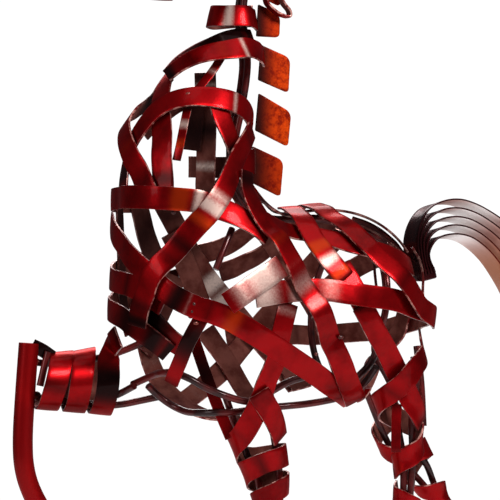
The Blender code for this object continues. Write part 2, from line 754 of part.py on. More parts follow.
# Corners of the mane's plates on the drawing: inner top, outer top, outer bottom, inner bottom
MANE_PLATES = (
    ((2.6, 303.0), (13.5, 298.5), (12.6, 287.0), (3.0, 291.5)),
    ((3.4, 288.0), (12.6, 283.6), (12.2, 274.0), (2.6, 274.5)),
    ((4.6, 270.9), (16.8, 265.4), (16.0, 250.7), (3.4, 256.2)),
    ((3.6, 250.6), (17.2, 242.5), (15.8, 228.1), (2.2, 235.0)),
    ((0.9, 228.4), (13.9, 222.3), (12.6, 207.1), (-0.4, 213.6)),
)


def make_mane():
    for number, corners in enumerate(MANE_PLATES, 1):
        points = [drawn(u, v, 0.0) for u, v in corners]
        outline = rounded(points, (0.5, 3.2, 2.0, 0.5))
        half = np.array([0, MANE_THICK / 2, 0])
        sides = [[p - half for p in outline], [p + half for p in outline]]
        swept(f"mane_plate_{number}", sides, "mane_lacquer")


def rounded(points, radii):
    """A flat outline with its corners rounded by short arcs."""
    out = []
    count = len(points)
    for i, (corner, radius) in enumerate(zip(points, radii)):
        back = unit(points[i - 1] - corner)
        ahead = unit(points[(i + 1) % count] - corner)
        for t in np.linspace(0, 1, 2 if radius < 1 else 4):
            start, end = corner + back * radius, corner + ahead * radius
            out.append((1 - t) ** 2 * start + 2 * t * (1 - t) * corner + t**2 * end)
    return out


TAIL_WIDTH = 13.0
TAIL_THICK = 0.8
TAIL_ROLL = math.radians(8)
TAIL_BLADES = 5
# The middle line of the first and the last blade, root to tip
TAIL_OUTER = (
    (69.6, 174), (68.6, 180), (67.8, 186), (68.2, 192.4), (71.4, 199.8), (76.4, 203.7), (83.6, 205),
    (88.4, 204.3), (94.1, 202), (102.3, 197), (112, 189), (122, 178), (131, 164), (138, 148),
)
TAIL_INNER = (
    (74.6, 175.5), (73.4, 179.3), (72.5, 182.5), (72.6, 185.5), (75.3, 188.3), (79, 190.1), (83.3, 190.6),
    (87.3, 190.2), (92.1, 188), (99, 182), (106, 171.5), (111.5, 160), (116, 147.5), (120, 133),
)


def make_tail():
    """Nested blades that rise from one root, arch over and fall."""
    pieces = []
    for i in range(TAIL_BLADES):
        share = i / (TAIL_BLADES - 1)
        marks = np.array(TAIL_OUTER) * (1 - share) + np.array(TAIL_INNER) * share
        middles = evenly(np.array([drawn(u, v, 0.0) for u, v in marks]), 8.0)
        ahead = tangents(middles)
        across = np.array([0.0, math.cos(TAIL_ROLL), -math.sin(TAIL_ROLL)])
        across = unit(across - ahead * (ahead @ across)[:, None])
        ups = np.cross(across, ahead)
        widths = TAIL_WIDTH * np.interp(np.linspace(0, 1, len(middles)), (0, 0.75, 1), (1, 0.95, 0.45))
        sections = ribbon_sections(middles, ups, across, widths, TAIL_THICK)
        pieces.append(swept(f"tail_blade_{i}", sections, "tail_lacquer"))
    ends = [drawn(u, v, 0) for u, v in ((69.1, 177.0), (74.1, 178.1))]
    low = [drawn(u, v, 0) for u, v in ((70.3, 171.6), (75.3, 173.0))]
    stretch = unit(ends[1] - ends[0]) * 0.9
    half = np.array([0, TAIL_WIDTH / 2 - 0.7, 0])
    block = [
        [a - stretch - half, b + stretch - half, b + stretch + half, a - stretch + half]
        for a, b in (low, ends)
    ]
    pieces.append(swept("tail_root", block, "tail_lacquer"))
    joined("tail_blades", pieces)


def ear(name, side):
    base = np.array([-1.0, side * 7.0, 327.0])
    tip = np.array([-2.0, side * 10.0, 347.0])
    shares = np.linspace(0, 1, 6)
    middles = base + shares[:, None] * (tip - base)
    run = unit(tip - base)
    across = np.tile(unit(np.cross(run, [0.3, side * 1.0, 0.0])), (len(shares), 1))
    ups = np.cross(run, across)
    widths = 8.5 * np.interp(shares, (0, 0.3, 0.7, 1), (0.7, 1, 0.7, 0.12))
    return swept(name, ribbon_sections(middles, ups, across, widths), "red_lacquer")


LOOP_WIDTH = 4.0
LOOP_SIDE = -3.3


def make_head():
    loop = [
        (4, 315), (0, 323), (-12, 327.5), (-29, 320), (-46, 313), (-54, 305), (-46, 297), (-29, 298), (-17, 297),
    ]
    ribbon("head_loop", lay(np.array([(x, 0, z) for x, z in loop], float), head_distance))
    for name, (centre, radius) in (("cheek_band", HEAD[0]), ("muzzle_band", (HEAD[2][0] + (5, 0, 1), 8.6))):
        turns = 2 * math.pi * np.arange(12) / 12
        ring = [centre + radius * np.array([-0.12 * math.cos(t), math.sin(t), math.cos(t)]) for t in turns]
        ribbon(name, lay(np.array(ring), head_distance, closed=True), closed=True)
    ear("near_ear", -1)
    ear("far_ear", 1)
    marks = (
        (9.5, 312), (6.5, 300), (6.5, 290), (8.5, 286.5), (13, 283.4), (17.4, 282.9), (15.5, 286.5), (12.5, 291),
        (12.2, 300),
    )
    middles = evenly(np.array([drawn(u, v, LOOP_SIDE) for u, v in marks]), 4.0, closed=True)
    across = np.tile([0.0, 1.0, 0.0], (len(middles), 1))
    ups = np.cross(across, tangents(middles, closed=True))
    swept("forelock_loop", ribbon_sections(middles, ups, across, LOOP_WIDTH), "red_lacquer", closed=True)


def clear_scene():
    for thing in list(bpy.data.objects):
        bpy.data.objects.remove(thing)


clear_scene()
make_rods()
make_first_strips()
make_near_strips()
make_legs()
make_mane()
make_tail()
make_head()
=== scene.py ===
"""The looks of the woven iron horse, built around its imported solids. Routes and sizes are in millimetres
on the drawing's own ground until a mesh is made."""

import math

import bpy
import numpy as np
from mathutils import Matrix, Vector


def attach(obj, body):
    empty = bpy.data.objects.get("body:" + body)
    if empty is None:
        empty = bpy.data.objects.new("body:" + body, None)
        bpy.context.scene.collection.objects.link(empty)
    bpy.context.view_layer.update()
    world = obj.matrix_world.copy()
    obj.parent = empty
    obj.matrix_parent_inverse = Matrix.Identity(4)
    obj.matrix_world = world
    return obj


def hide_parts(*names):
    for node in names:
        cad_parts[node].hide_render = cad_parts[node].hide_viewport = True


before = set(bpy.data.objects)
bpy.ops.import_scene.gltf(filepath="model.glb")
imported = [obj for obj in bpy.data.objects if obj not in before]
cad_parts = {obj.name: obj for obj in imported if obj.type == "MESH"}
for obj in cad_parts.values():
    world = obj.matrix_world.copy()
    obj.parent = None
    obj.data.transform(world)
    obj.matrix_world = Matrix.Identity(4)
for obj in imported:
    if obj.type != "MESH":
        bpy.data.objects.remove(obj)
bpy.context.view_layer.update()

MM = 0.001
TINY = 1e-9  # keeps a division by a length off zero

# Stock
STRIP_WIDTH = 9.2
STRIP_THICK = 1.0
ROD_RADIUS = 1.5
TUBE_RADIUS = 4.2
FIT_GAP = 0.3
WEAVE_PITCH = 1.75  # from one strip's middle to the next one's where they cross
BRACE_WIDTH = 6.0
STATION = 6.6  # spacing of the sections along a strip

# The drawing plane stands upright through the body, turned toward the head, and the drawing is
# seen in perspective from the eye. U runs along the plane and V is the height on it.
VIEW_TURN = math.radians(25)
EYE_DISTANCE = 800.0
EYE_HEIGHT = 184.8

# The middle of the feet and body on the drawing's own ground
MIDDLE_X = 34.4
MIDDLE_Y = 0.2

ALONG = np.array([math.cos(VIEW_TURN), -math.sin(VIEW_TURN), 0.0])
TOWARD_EYE = np.array([-math.sin(VIEW_TURN), -math.cos(VIEW_TURN), 0.0])
EYE = EYE_DISTANCE * TOWARD_EYE + np.array([0.0, 0.0, EYE_HEIGHT])

# Body, as ellipsoids (centre, half sizes)
CHEST = ((-19.4, 0, 165), (36, 42, 50))
BARREL = ((8, 0, 156), (66, 40, 43))
RUMP = ((38.3, 0, 163), (37, 42, 38))
# Neck, as level ovals: height, middle x, half length, half width
NECK = (
    (150, -31.2, 25.2, 30.0),
    (170, -31.1, 25.1, 32.0),
    (190, -31.8, 26.8, 33.0),
    (210, -32.0, 26.0, 34.0),
    (227, -29.6, 24.4, 31.0),
    (242, -24.8, 22.5, 25.5),
    (248, -22.0, 21.0, 23.0),
    (255, -19.0, 18.7, 20.0),
    (265, -13.6, 14.9, 15.0),
    (275, -9.5, 8.8, 9.6),
    (281, -8.4, 7.2, 8.2),
    (290, -7.8, 7.0, 8.0),
    (300, -6.5, 7.4, 8.2),
)
TRUNK_BLEND = 9.0
LEG_BLEND = 6.0


def drawn(u, v, y):
    """The point at depth y that the eye sees at (u, v) of the drawing."""
    mark = u * ALONG + np.array([0.0, 0.0, v])
    ray = mark - EYE
    return EYE + ray * (y - EYE[1]) / ray[1]


def drawn_marks(marks, y):
    return np.array([drawn(u, v, y) for u, v in marks])


# Legs, as stacks of balls (centre, radius) from the body down to the knee or hock
LEG_FORMS = {
    "near_fore": (
        (drawn(-1, 124, -18), 12.5),
        (drawn(2.9, 106, -17), 10.2),
        (drawn(6.3, 94.5, -16), 8.8),
        (drawn(9.0, 80, -14), 6.6),
        (drawn(9.4, 69, -13), 6.0),
    ),
    "near_hind": (
        (drawn(60.5, 140, -23), 11.5),
        (drawn(64.5, 128, -24), 8.3),
        (drawn(64.7, 114, -24), 6.5),
        (drawn(66.2, 97, -24), 5.2),
        (drawn(65.5, 76, -24), 4.5),
        (drawn(64.0, 60, -24), 4.5),
    ),
    "far_hind": (
        (drawn(57, 128, 20), 13.0),
        (drawn(63, 105, 22), 9.3),
        (drawn(69.5, 95, 22), 8.0),
        (drawn(77, 83, 23), 4.9),
        (drawn(80.5, 75, 23), 4.6),
        (drawn(82.5, 62, 23), 4.6),
    ),
    "far_fore": (
        (drawn(-38, 136, 16), 16.0),
        (drawn(-58, 130.2, 19), 13.8),
        (drawn(-72, 129.6, 20), 11.8),
        (drawn(-86, 129.6, 20), 10.6),
    ),
}

# Head, as a stack of balls from the cheek to the muzzle
HEAD = (
    (np.array([-10.5, 0, 312.5]), 15.0),
    (np.array([-29.0, 0, 309.0]), 10.5),
    (np.array([-46.0, 0, 305.0]), 7.6),
)

NECK_CAP = 5.0  # how far the neck's form reaches above its top oval
SLOPE_STEP = 0.4  # half the span over which a form's slope is measured
SIGHT_SPAN = 90.0  # how far before and past the drawing plane a sight line is followed


def ellipsoid_distance(points, centre, sizes):
    near = (points - np.array(centre, float)) / np.array(sizes, float)
    scaled = near / np.array(sizes, float)
    reach = np.linalg.norm(near, axis=-1)
    return reach * (reach - 1) / np.maximum(np.linalg.norm(scaled, axis=-1), TINY)


def neck_distance(points):
    heights, middles, lengths, widths = np.array(NECK, float).T
    z = points[..., 2]
    length = np.interp(z, heights, lengths)
    width = np.interp(z, heights, widths)
    u = (points[..., 0] - np.interp(z, heights, middles)) / length
    v = points[..., 1] / width
    reach = np.hypot(u, v)
    level = reach * (reach - 1) / np.maximum(np.hypot(u / length, v / width), TINY)
    return np.maximum(level, np.maximum(z - heights[-1] - NECK_CAP, heights[0] - z))


def limb_distance(points, balls):
    best = np.full(points.shape[:-1], np.inf)
    for (start, start_r), (end, end_r) in zip(balls, balls[1:]):
        run = end - start
        share = np.clip((points - start) @ run / (run @ run), 0, 1)
        reach = np.linalg.norm(points - start - share[..., None] * run, axis=-1)
        best = np.minimum(best, reach - start_r - (end_r - start_r) * share)
    return best


def blend(first, second, width):
    share = np.clip(0.5 + 0.5 * (second - first) / width, 0, 1)
    return second + (first - second) * share - width * share * (1 - share)


def trunk_distance(points):
    body = ellipsoid_distance(points, *CHEST)
    for part in (BARREL, RUMP):
        body = blend(body, ellipsoid_distance(points, *part), TRUNK_BLEND)
    return blend(body, neck_distance(points), TRUNK_BLEND)


def body_distance(points):
    """Distance from points to the smooth body that the strips are laid on, negative inside."""
    body = trunk_distance(points)
    for balls in LEG_FORMS.values():
        body = blend(body, limb_distance(points, balls), LEG_BLEND)
    return body


def head_distance(points):
    return limb_distance(points, HEAD)


def unit(rows):
    return rows / np.maximum(np.linalg.norm(rows, axis=-1, keepdims=True), TINY)


def form_normals(points, form=body_distance):
    steps = SLOPE_STEP * np.eye(3)
    return unit(np.stack([form(points + step) - form(points - step) for step in steps], axis=-1))


def on_form(points, form=body_distance, rounds=6):
    for _ in range(rounds):
        points = points - form(points)[..., None] * form_normals(points, form)
    return points


def seen(marks, last=False, part=body_distance):
    """The surface of one part of the body where the sight lines through marks first, or last, meet it."""
    marks = np.array(marks, float)
    targets = marks[:, :1] * ALONG + marks[:, 1:] * np.array([0.0, 0.0, 1.0])
    rays = unit(targets - EYE)
    reaches = np.arange(EYE_DISTANCE - SIGHT_SPAN, EYE_DISTANCE + SIGHT_SPAN, 1.0)
    probes = EYE + reaches[None, :, None] * rays[:, None, :]
    found = []
    for row, distances in zip(probes, part(probes)):
        inside = np.flatnonzero(distances < 0)
        if len(inside):
            found.append(row[inside[-1] if last else inside[0]])
        else:
            found.append(row[np.argmin(distances)])
    return on_form(np.array(found))


def near(*marks):
    return seen(marks)


def far(*marks):
    return seen(marks, last=True)


def on_leg(leg, *marks, last=False):
    return seen(marks, last, lambda points: limb_distance(points, LEG_FORMS[leg]))


def behind_leg(leg, *marks):
    return on_leg(leg, *marks, last=True)


def smooth_rows(rows, closed, pieces):
    """Rows of a smooth curve through the given ones, with several to each step."""
    if closed:
        padded = np.vstack([rows[-1:], rows, rows[:2]])
    else:
        padded = np.vstack([2 * rows[0] - rows[1], rows, 2 * rows[-1] - rows[-2]])
    smooth = []
    for a, b, c, d in zip(padded, padded[1:], padded[2:], padded[3:]):
        for t in np.linspace(0, 1, pieces, endpoint=False):
            bend = (2 * a - 5 * b + 4 * c - d) * t**2 + (3 * b - a - 3 * c + d) * t**3
            smooth.append(0.5 * (2 * b + (c - a) * t + bend))
    if not closed:
        smooth.append(padded[-2])
    return np.array(smooth)


CURVE_PIECES = 24


def evenly(points, spacing, closed=False):
    """The points of a smooth curve through the given ones, at an even spacing."""
    fine = smooth_rows(points, closed, CURVE_PIECES)
    if closed:
        fine = np.vstack([fine, points[:1]])
    reach = lengths_along(fine)
    count = max(2, round(reach[-1] / spacing))
    marks = np.linspace(0, reach[-1], count + 1)
    even = np.stack([np.interp(marks, reach, column) for column in fine.T], axis=1)
    return even[:-1] if closed else even


def lengths_along(rows):
    """How far along its line each row lies."""
    return np.concatenate([[0], np.cumsum(np.linalg.norm(np.diff(rows, axis=0), axis=1))])


def softened(rows, closed=False, rounds=1):
    for _ in range(rounds):
        before = np.vstack([rows[-1:] if closed else rows[:1], rows[:-1]])
        after = np.vstack([rows[1:], rows[:1] if closed else rows[-1:]])
        rows = (before + 2 * rows + after) / 4
    return rows


def tangents(points, closed=False):
    if closed:
        return unit(np.roll(points, -1, axis=0) - np.roll(points, 1, axis=0))
    return unit(np.gradient(points, axis=0))


FINE_SPACING = 2.0


def laid_path(waypoints, form, closed=False):
    """A strip's stations on the body, with the direction out of the body and the one across the strip."""
    points = on_form(evenly(waypoints, FINE_SPACING, closed), form)
    points = on_form(evenly(points, STATION, closed), form)
    ups = unit(softened(form_normals(points, form), closed, 2))
    ahead = tangents(points, closed)
    across = unit(np.cross(ahead, ups))
    return points, unit(np.cross(across, ahead)), across


def steps_of(rows, closed):
    """The rows that steps start from and those that they end at."""
    return (rows, np.vstack([rows[1:], rows[:1]])) if closed else (rows[:-1], rows[1:])


def between(rows, closed, pieces):
    """Rows at even shares between neighbouring rows."""
    starts, ends = steps_of(rows, closed)
    shares = np.arange(pieces) / pieces
    filled = starts[:, None] + shares[None, :, None] * (ends - starts)[:, None]
    filled = filled.reshape(-1, rows.shape[1])
    return filled if closed else np.vstack([filled, rows[-1:]])


LOWEST_LIFT = STRIP_THICK / 2 + FIT_GAP
PROBE_PIECES = 4  # probes to each step of a strip
PROBE_SHARES = (-0.5, -0.25, 0, 0.25, 0.5)  # probes across its width
STEP_SPARE = 0.08  # share of a step that counts as over it past either end
SIDE_SPARE = 0.7  # how far past a strip's edge still counts as over it
LAYER_REACH = 7.0  # strips further apart than this, or turned away from each other, don't cross
LEAST_FACING = 0.3
STEEPEST_FACING = 0.5
RAMP = 16.0  # length over which a strip climbs to a crossing
laid_strips = []


def lifts_needed(points, ups, across, width, closed):
    """How far each station rises so that the strip passes over those laid before it."""
    probes = between(points, closed, PROBE_PIECES)
    probe_ups = unit(between(ups, closed, PROBE_PIECES))
    probe_across = unit(between(across, closed, PROBE_PIECES))
    needed = np.full(len(probes), LOWEST_LIFT)
    for share in PROBE_SHARES:
        spots = probes + probe_across * width * share
        for under in laid_strips:
            lengths = np.linalg.norm(under["runs"], axis=1)
            ahead = under["runs"] / lengths[:, None]
            offset = spots[:, None] - under["starts"][None]
            along = np.einsum("ijk,jk->ij", offset, ahead) / lengths
            sideways = np.einsum("ijk,jk->ij", offset, under["across"])
            height = np.einsum("ijk,jk->ij", offset, under["ups"])
            facing = np.einsum("ik,jk->ij", probe_ups, under["ups"])
            beneath = (
                (along > -STEP_SPARE)
                & (along < 1 + STEP_SPARE)
                & (np.abs(sideways) < under["width"] / 2 + SIDE_SPARE)
                & (np.abs(height) < LAYER_REACH)
                & (facing > LEAST_FACING)
            )
            rise = np.where(beneath, (WEAVE_PITCH - height) / np.maximum(facing, STEEPEST_FACING), 0)
            needed = np.maximum(needed, rise.max(axis=1))
    lifts = np.full(len(points), LOWEST_LIFT)
    for row, lift in zip(np.arange(len(probes)) / PROBE_PIECES, needed):
        for station in (math.floor(row), math.ceil(row)):
            station = station % len(points) if closed else min(station, len(points) - 1)
            lifts[station] = max(lifts[station], lift)
    return lifts


def eased(lifts, closed):
    """Rises spread out, so that a strip ramps up to a crossing and down again."""
    places = np.arange(len(lifts))
    apart = np.abs(places[:, None] - places[None])
    if closed:
        apart = np.minimum(apart, len(lifts) - apart)
    share = np.clip(apart * STATION / RAMP, 0, 1)
    weight = 0.5 + 0.5 * np.cos(math.pi * share)
    return LOWEST_LIFT + ((lifts - LOWEST_LIFT)[None] * weight).max(axis=1)


def lay(waypoints, form=body_distance, width=STRIP_WIDTH, closed=False):
    """Lays a strip on the body over those laid before, and returns its sections."""
    points, ups, across = laid_path(waypoints, form, closed)
    lifts = eased(lifts_needed(points, ups, across, width, closed), closed)
    middles = points + ups * lifts[:, None]
    starts, ends = steps_of(middles, closed)
    steps = len(starts)
    sheet = {"width": width, "ups": ups[:steps], "across": across[:steps]}
    laid_strips.append({"starts": starts, "runs": ends - starts, **sheet})
    return middles, ups, across


# Finishes. A noise is given as its scale, detail and roughness, and a relief as its depth and strength.


class Wire:
    """A number socket whose arithmetic adds Math nodes."""

    def __init__(self, finish, socket):
        self.finish = finish
        self.socket = socket

    def maths(self, operation, second):
        return self.finish.node("ShaderNodeMath", {"operation": operation}, {0: self, 1: second})

    def __add__(self, other):
        return self.maths("ADD", other)

    def __sub__(self, other):
        return self.maths("SUBTRACT", other)

    def __mul__(self, other):
        return self.maths("MULTIPLY", other)

    def above(self, low, high):
        """0 below low, 1 above high and smooth between them."""
        return self.finish.node(
            "ShaderNodeMapRange",
            {"interpolation_type": "SMOOTHSTEP"},
            {"Value": self, "From Min": low, "From Max": high},
        )


class Finish:
    """One lacquer or metal surface, as a node material."""

    def __init__(self, name, metallic=0.0, coat=0.0, coat_roughness=0.1, gloss=0.5, tint=(1, 1, 1)):
        self.material = bpy.data.materials.new(name)
        self.material.use_nodes = True
        self.nodes = self.material.node_tree.nodes
        self.links = self.material.node_tree.links
        self.shader = self.nodes["Principled BSDF"]
        self.shader.inputs["Metallic"].default_value = metallic
        self.shader.inputs["Coat Weight"].default_value = coat
        self.shader.inputs["Coat Roughness"].default_value = coat_roughness
        self.shader.inputs["Specular IOR Level"].default_value = gloss
        self.shader.inputs["Specular Tint"].default_value = (*tint, 1)
        self.place = self.nodes.new("ShaderNodeTexCoord").outputs["Object"]

    def feed(self, socket, value):
        if isinstance(value, Wire):
            self.links.new(value.socket, socket)
        elif isinstance(value, bpy.types.NodeSocket):
            self.links.new(value, socket)
        elif isinstance(value, tuple):
            socket.default_value = (*value, 1.0)
        else:
            socket.default_value = value

    def node(self, kind, settings, values, output=0):
        made = self.nodes.new(kind)
        for key, value in settings.items():
            setattr(made, key, value)
        for key, value in values.items():
            self.feed(made.inputs[key], value)
        return Wire(self, made.outputs[output])

    def noise(self, scale, detail=3.0, rough=0.5):
        values = {"Vector": self.place, "Scale": scale, "Detail": detail, "Roughness": rough}
        return self.node("ShaderNodeTexNoise", {}, values, "Fac")

    def mark(self, name):
        """A number painted on the piece's points."""
        return self.node("ShaderNodeAttribute", {"attribute_name": name}, {}, "Fac")

    def patch_share(self, name, grain, ragged, low, high, strength=1.0):
        """How thick a painted patch lies, with its rim broken up by a noise; the patches are dark spray with
        painted shade, orange spray and painted highlights.
        """
        coat = self.mark(name)
        return (coat * strength + (grain - 0.5) * ragged * coat).above(low, high)

    def blend(self, share, first, second):
        return self.node("ShaderNodeMix", {"data_type": "RGBA"}, {0: share, 6: first, 7: second}, 2)

    def colour(self, value):
        self.feed(self.shader.inputs["Base Color"], value)

    def roughness(self, value):
        self.feed(self.shader.inputs["Roughness"], value)

    def glow(self, shade, strength):
        self.feed(self.shader.inputs["Emission Color"], shade)
        self.shader.inputs["Emission Strength"].default_value = strength

    def relief(self, height, depth, strength):
        """Bump of the given depth in metres."""
        values = {"Strength": strength, "Distance": depth, "Height": height}
        self.feed(self.shader.inputs["Normal"], self.node("ShaderNodeBump", {}, values, "Normal"))


RED_BRIGHT = (0.37, 0.003, 0.005)
RED_DEEP = (0.17, 0.001, 0.002)
RED_SHEEN = (0.75, 0.22, 0.20)
# Red lacquer's marks: near-black for dark spray and painted shade, orange spray, and cream for painted
# highlights.
SMOKE_AND_SHADE = (0.012, 0.003, 0.003)
AMBER = (0.52, 0.032, 0.004)
PAINTED_HIGHLIGHT = (0.72, 0.50, 0.43)


def red_lacquer():
    """Glossy red over dark iron, with dark spray and painted shade in places, orange spray, and painted
    highlights.
    """
    f = Finish("red_lacquer_outside", 0.82, coat=0.10, coat_roughness=0.08, gloss=0.25, tint=RED_SHEEN)
    cloud = f.noise(55.0, 4.0, 0.6)
    grit = f.noise(1400.0, 2.0, 0.7)
    body = f.blend(cloud.above(0.30, 0.60), RED_DEEP, RED_BRIGHT)
    body = f.blend(f.patch_share("amber", cloud, 0.8, 0.1, 0.9), body, AMBER)
    body = f.blend(f.patch_share("smoke_and_shade", cloud, 0.5, 0.05, 1.0, 1.25), body, SMOKE_AND_SHADE)
    body = f.blend(f.patch_share("painted_highlight", grit, 0.9, 0.12, 0.8), body, PAINTED_HIGHLIGHT)
    f.colour(body)
    f.roughness(grit * 0.16 + 0.28 + f.mark("painted_highlight") * 0.12)
    f.relief(f.noise(900.0, 3.0, 0.6) + cloud * 4.0, 0.00006, 0.5)
    return f.material


INSIDE_DEEP = (0.11, 0.024, 0.018)
INSIDE_BRIGHT = (0.30, 0.10, 0.078)
INSIDE_AMBER = (0.30, 0.010, 0.010)
# Near-black for dark spray and painted shade, and cream for a painted reflection on the inner faces.
INSIDE_SMOKE_AND_SHADE = (0.014, 0.006, 0.006)
INSIDE_PAINTED_HIGHLIGHT = (0.85, 0.70, 0.62)


def inside_iron():
    """The matt brown of the strips' inner faces."""
    f = Finish("dark_iron_inside", metallic=0.35, gloss=0.2, tint=RED_SHEEN)
    cloud = f.noise(90.0, 4.0, 0.65)
    speck = f.noise(1100.0, 2.0, 0.7)
    body = f.blend(cloud.above(0.3, 0.7), INSIDE_DEEP, INSIDE_BRIGHT)
    body = f.blend(f.mark("amber"), body, INSIDE_AMBER)
    body = f.blend(f.mark("smoke_and_shade"), body, INSIDE_SMOKE_AND_SHADE)
    body = f.blend(f.patch_share("painted_highlight", speck, 0.9, 0.12, 0.8), body, INSIDE_PAINTED_HIGHLIGHT)
    f.colour(body)
    f.roughness(speck * 0.2 + 0.48)
    f.relief(speck, 0.00008, 0.5)
    return f.material


EDGE_RED = (0.20, 0.008, 0.008)
EDGE_BARE = (0.75, 0.36, 0.30)
# Near-black where the edges carry dark spray and painted shade.
EDGE_SMOKE_AND_SHADE = (0.03, 0.014, 0.012)


def edge_iron():
    """The cut edges of the strips, where the lacquer is thin."""
    f = Finish("strip_edge", metallic=0.5, coat=0.2, gloss=0.4)
    wear = f.noise(300.0, 3.0, 0.6)
    body = f.blend(wear.above(0.45, 0.62), EDGE_RED, EDGE_BARE)
    f.colour(f.blend(f.mark("smoke_and_shade") * 0.8, body, EDGE_SMOKE_AND_SHADE))
    f.roughness(0.3)
    return f.material


ROD_DEEP = (0.026, 0.006, 0.006)
ROD_BRIGHT = (0.17, 0.012, 0.011)
TUBE_DEEP = (0.24, 0.002, 0.003)
TUBE_BRIGHT = (0.36, 0.003, 0.004)
WELD_DEEP = (0.05, 0.008, 0.007)
WELD_BRIGHT = (0.26, 0.045, 0.028)


def rod_lacquer():
    f = Finish("rod_lacquer", metallic=0.4, coat=0.35, gloss=0.3)
    f.colour(f.blend(f.noise(45.0, 3.0, 0.6).above(0.38, 0.64), ROD_DEEP, ROD_BRIGHT))
    f.roughness(f.noise(800.0) * 0.12 + 0.26)
    f.relief(f.noise(260.0, 4.0, 0.6), 0.0001, 0.4)
    return f.material


def tube_lacquer():
    f = Finish("tube_lacquer", metallic=0.6, coat=0.12, coat_roughness=0.2, gloss=0.25, tint=RED_SHEEN)
    f.colour(f.blend(f.noise(38.0).above(0.35, 0.7), TUBE_DEEP, TUBE_BRIGHT))
    f.roughness(f.noise(1200.0) * 0.14 + 0.36)
    f.relief(f.noise(700.0, 3.0, 0.6), 0.00006, 0.5)
    return f.material


def weld_iron():
    f = Finish("weld_bead", metallic=0.5, coat=0.3)
    grain = f.noise(420.0, 4.0, 0.6)
    f.colour(f.blend(grain.above(0.4, 0.65), WELD_DEEP, WELD_BRIGHT))
    f.roughness(grain * 0.2 + 0.3)
    f.relief(grain, 0.0003, 0.8)
    return f.material


MANE_DEEP = (0.20, 0.004, 0.002)
MANE_BRIGHT = (0.40, 0.016, 0.003)
MANE_RIM = (0.90, 0.085, 0.003)
MANE_ROOT = (0.020, 0.003, 0.003)
MANE_SHEEN = (0.8, 0.35, 0.2)


def mane_lacquer():
    """Mottled orange, near-black along the neck and red toward the rim."""
    f = Finish("mane_lacquer", metallic=0.6, coat=0.12, coat_roughness=0.15, gloss=0.2, tint=MANE_SHEEN)
    cloud = f.noise(130.0, 6.0, 0.68)
    fine = f.noise(520.0, 4.0, 0.7)
    stain = (cloud * 0.65 + fine * 0.35).above(0.36, 0.62)
    body = f.blend(stain, MANE_DEEP, MANE_BRIGHT)
    body = f.blend(f.mark("amber") * (stain * 0.9 + 0.1), body, MANE_RIM)
    body = f.blend((f.mark("smoke_and_shade") + (cloud - 0.5) * 0.5).above(0.12, 0.95), body, MANE_ROOT)
    f.colour(body)
    f.roughness(fine * 0.2 + 0.36)
    f.relief(fine + cloud, 0.00008, 0.5)
    return f.material


TAIL_DEEP = (0.014, 0.003, 0.004)
TAIL_BRIGHT = (0.050, 0.006, 0.007)
TAIL_AMBER = (0.20, 0.02, 0.012)
TAIL_SHEEN = (0.5, 0.3, 0.3)


def tail_lacquer():
    f = Finish("tail_lacquer_outside", metallic=0.5, coat=0.10, gloss=0.2, tint=TAIL_SHEEN)
    body = f.blend(f.noise(60.0, 3.0, 0.6).above(0.35, 0.7), TAIL_DEEP, TAIL_BRIGHT)
    f.colour(f.blend(f.mark("amber"), body, TAIL_AMBER))
    f.roughness(f.noise(900.0) * 0.12 + 0.22)
    f.relief(f.noise(700.0, 3.0, 0.6), 0.00005, 0.4)
    return f.material


# The undersides' pale pinks are their brown iron lightened by a painted reflection of the white studio; cream
# for painted highlights, near-black for dark spray and painted shade at the root.
UNDER_DEEP = (0.30, 0.12, 0.10)
UNDER_BRIGHT = (0.52, 0.29, 0.25)
UNDER_AMBER = (0.32, 0.11, 0.05)
UNDER_PAINTED_HIGHLIGHT = (0.95, 0.86, 0.84)
UNDER_SMOKE_AND_SHADE = (0.030, 0.012, 0.012)
TAIL_GLOW = 0.45  # stands for the white studio below, which the undersides mirror


def tail_inside():
    """The undersides of the tail, pinkish grey at the root from a painted reflection of the white studio, and
    rusty toward the tips.
    """
    f = Finish("tail_lacquer_inside", metallic=0.1, coat=0.1, gloss=0.3)
    body = f.blend(f.noise(80.0, 4.0, 0.6).above(0.3, 0.7), UNDER_DEEP, UNDER_BRIGHT)
    for name, shade in (("amber", UNDER_AMBER), ("painted_highlight", UNDER_PAINTED_HIGHLIGHT), ("smoke_and_shade", UNDER_SMOKE_AND_SHADE)):
        body = f.blend(f.mark(name), body, shade)
    f.colour(body)
    f.glow(body, TAIL_GLOW)
    f.roughness(f.noise(900.0) * 0.14 + 0.36)
    return f.material


RED = red_lacquer()
INSIDE = inside_iron()
EDGE = edge_iron()
ROD = rod_lacquer()
TUBE = tube_lacquer()
WELD = weld_iron()
MANE = mane_lacquer()
TAIL = tail_lacquer()
TAIL_UNDER = tail_inside()

# Making pieces


def kept(piece, slot, *nodes):
    """Every piece rides on the one body and may stand for nodes, whose solids it hides. The slot is not used.
    """
    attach(piece, "root")
    if nodes:
        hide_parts(*nodes)
    return piece


def placed(points):
    return (np.asarray(points, float) - (MIDDLE_X, MIDDLE_Y, 0)) * MM


def on_drawing(points):
    """Where the eye sees points, as marks of the drawing."""
    rays = points - EYE
    reach = -(EYE @ TOWARD_EYE) / (rays @ TOWARD_EYE)
    hits = EYE + rays * reach[:, None]
    return np.stack([hits @ ALONG, hits[:, 2]], axis=1)


def new_piece(name, primitive, **settings):
    """A piece started from one of the simple meshes, with nothing else selected."""
    bpy.ops.object.select_all(action="DESELECT")
    primitive(**settings)
    piece = bpy.context.object
    piece.name = name
    return piece


def points_of(piece):
    flat = np.empty(len(piece.data.vertices) * 3, np.float32)
    piece.data.vertices.foreach_get("co", flat)
    return flat.reshape(-1, 3)


def move_points(piece, points):
    piece.data.vertices.foreach_set("co", placed(points).astype(np.float32).ravel())


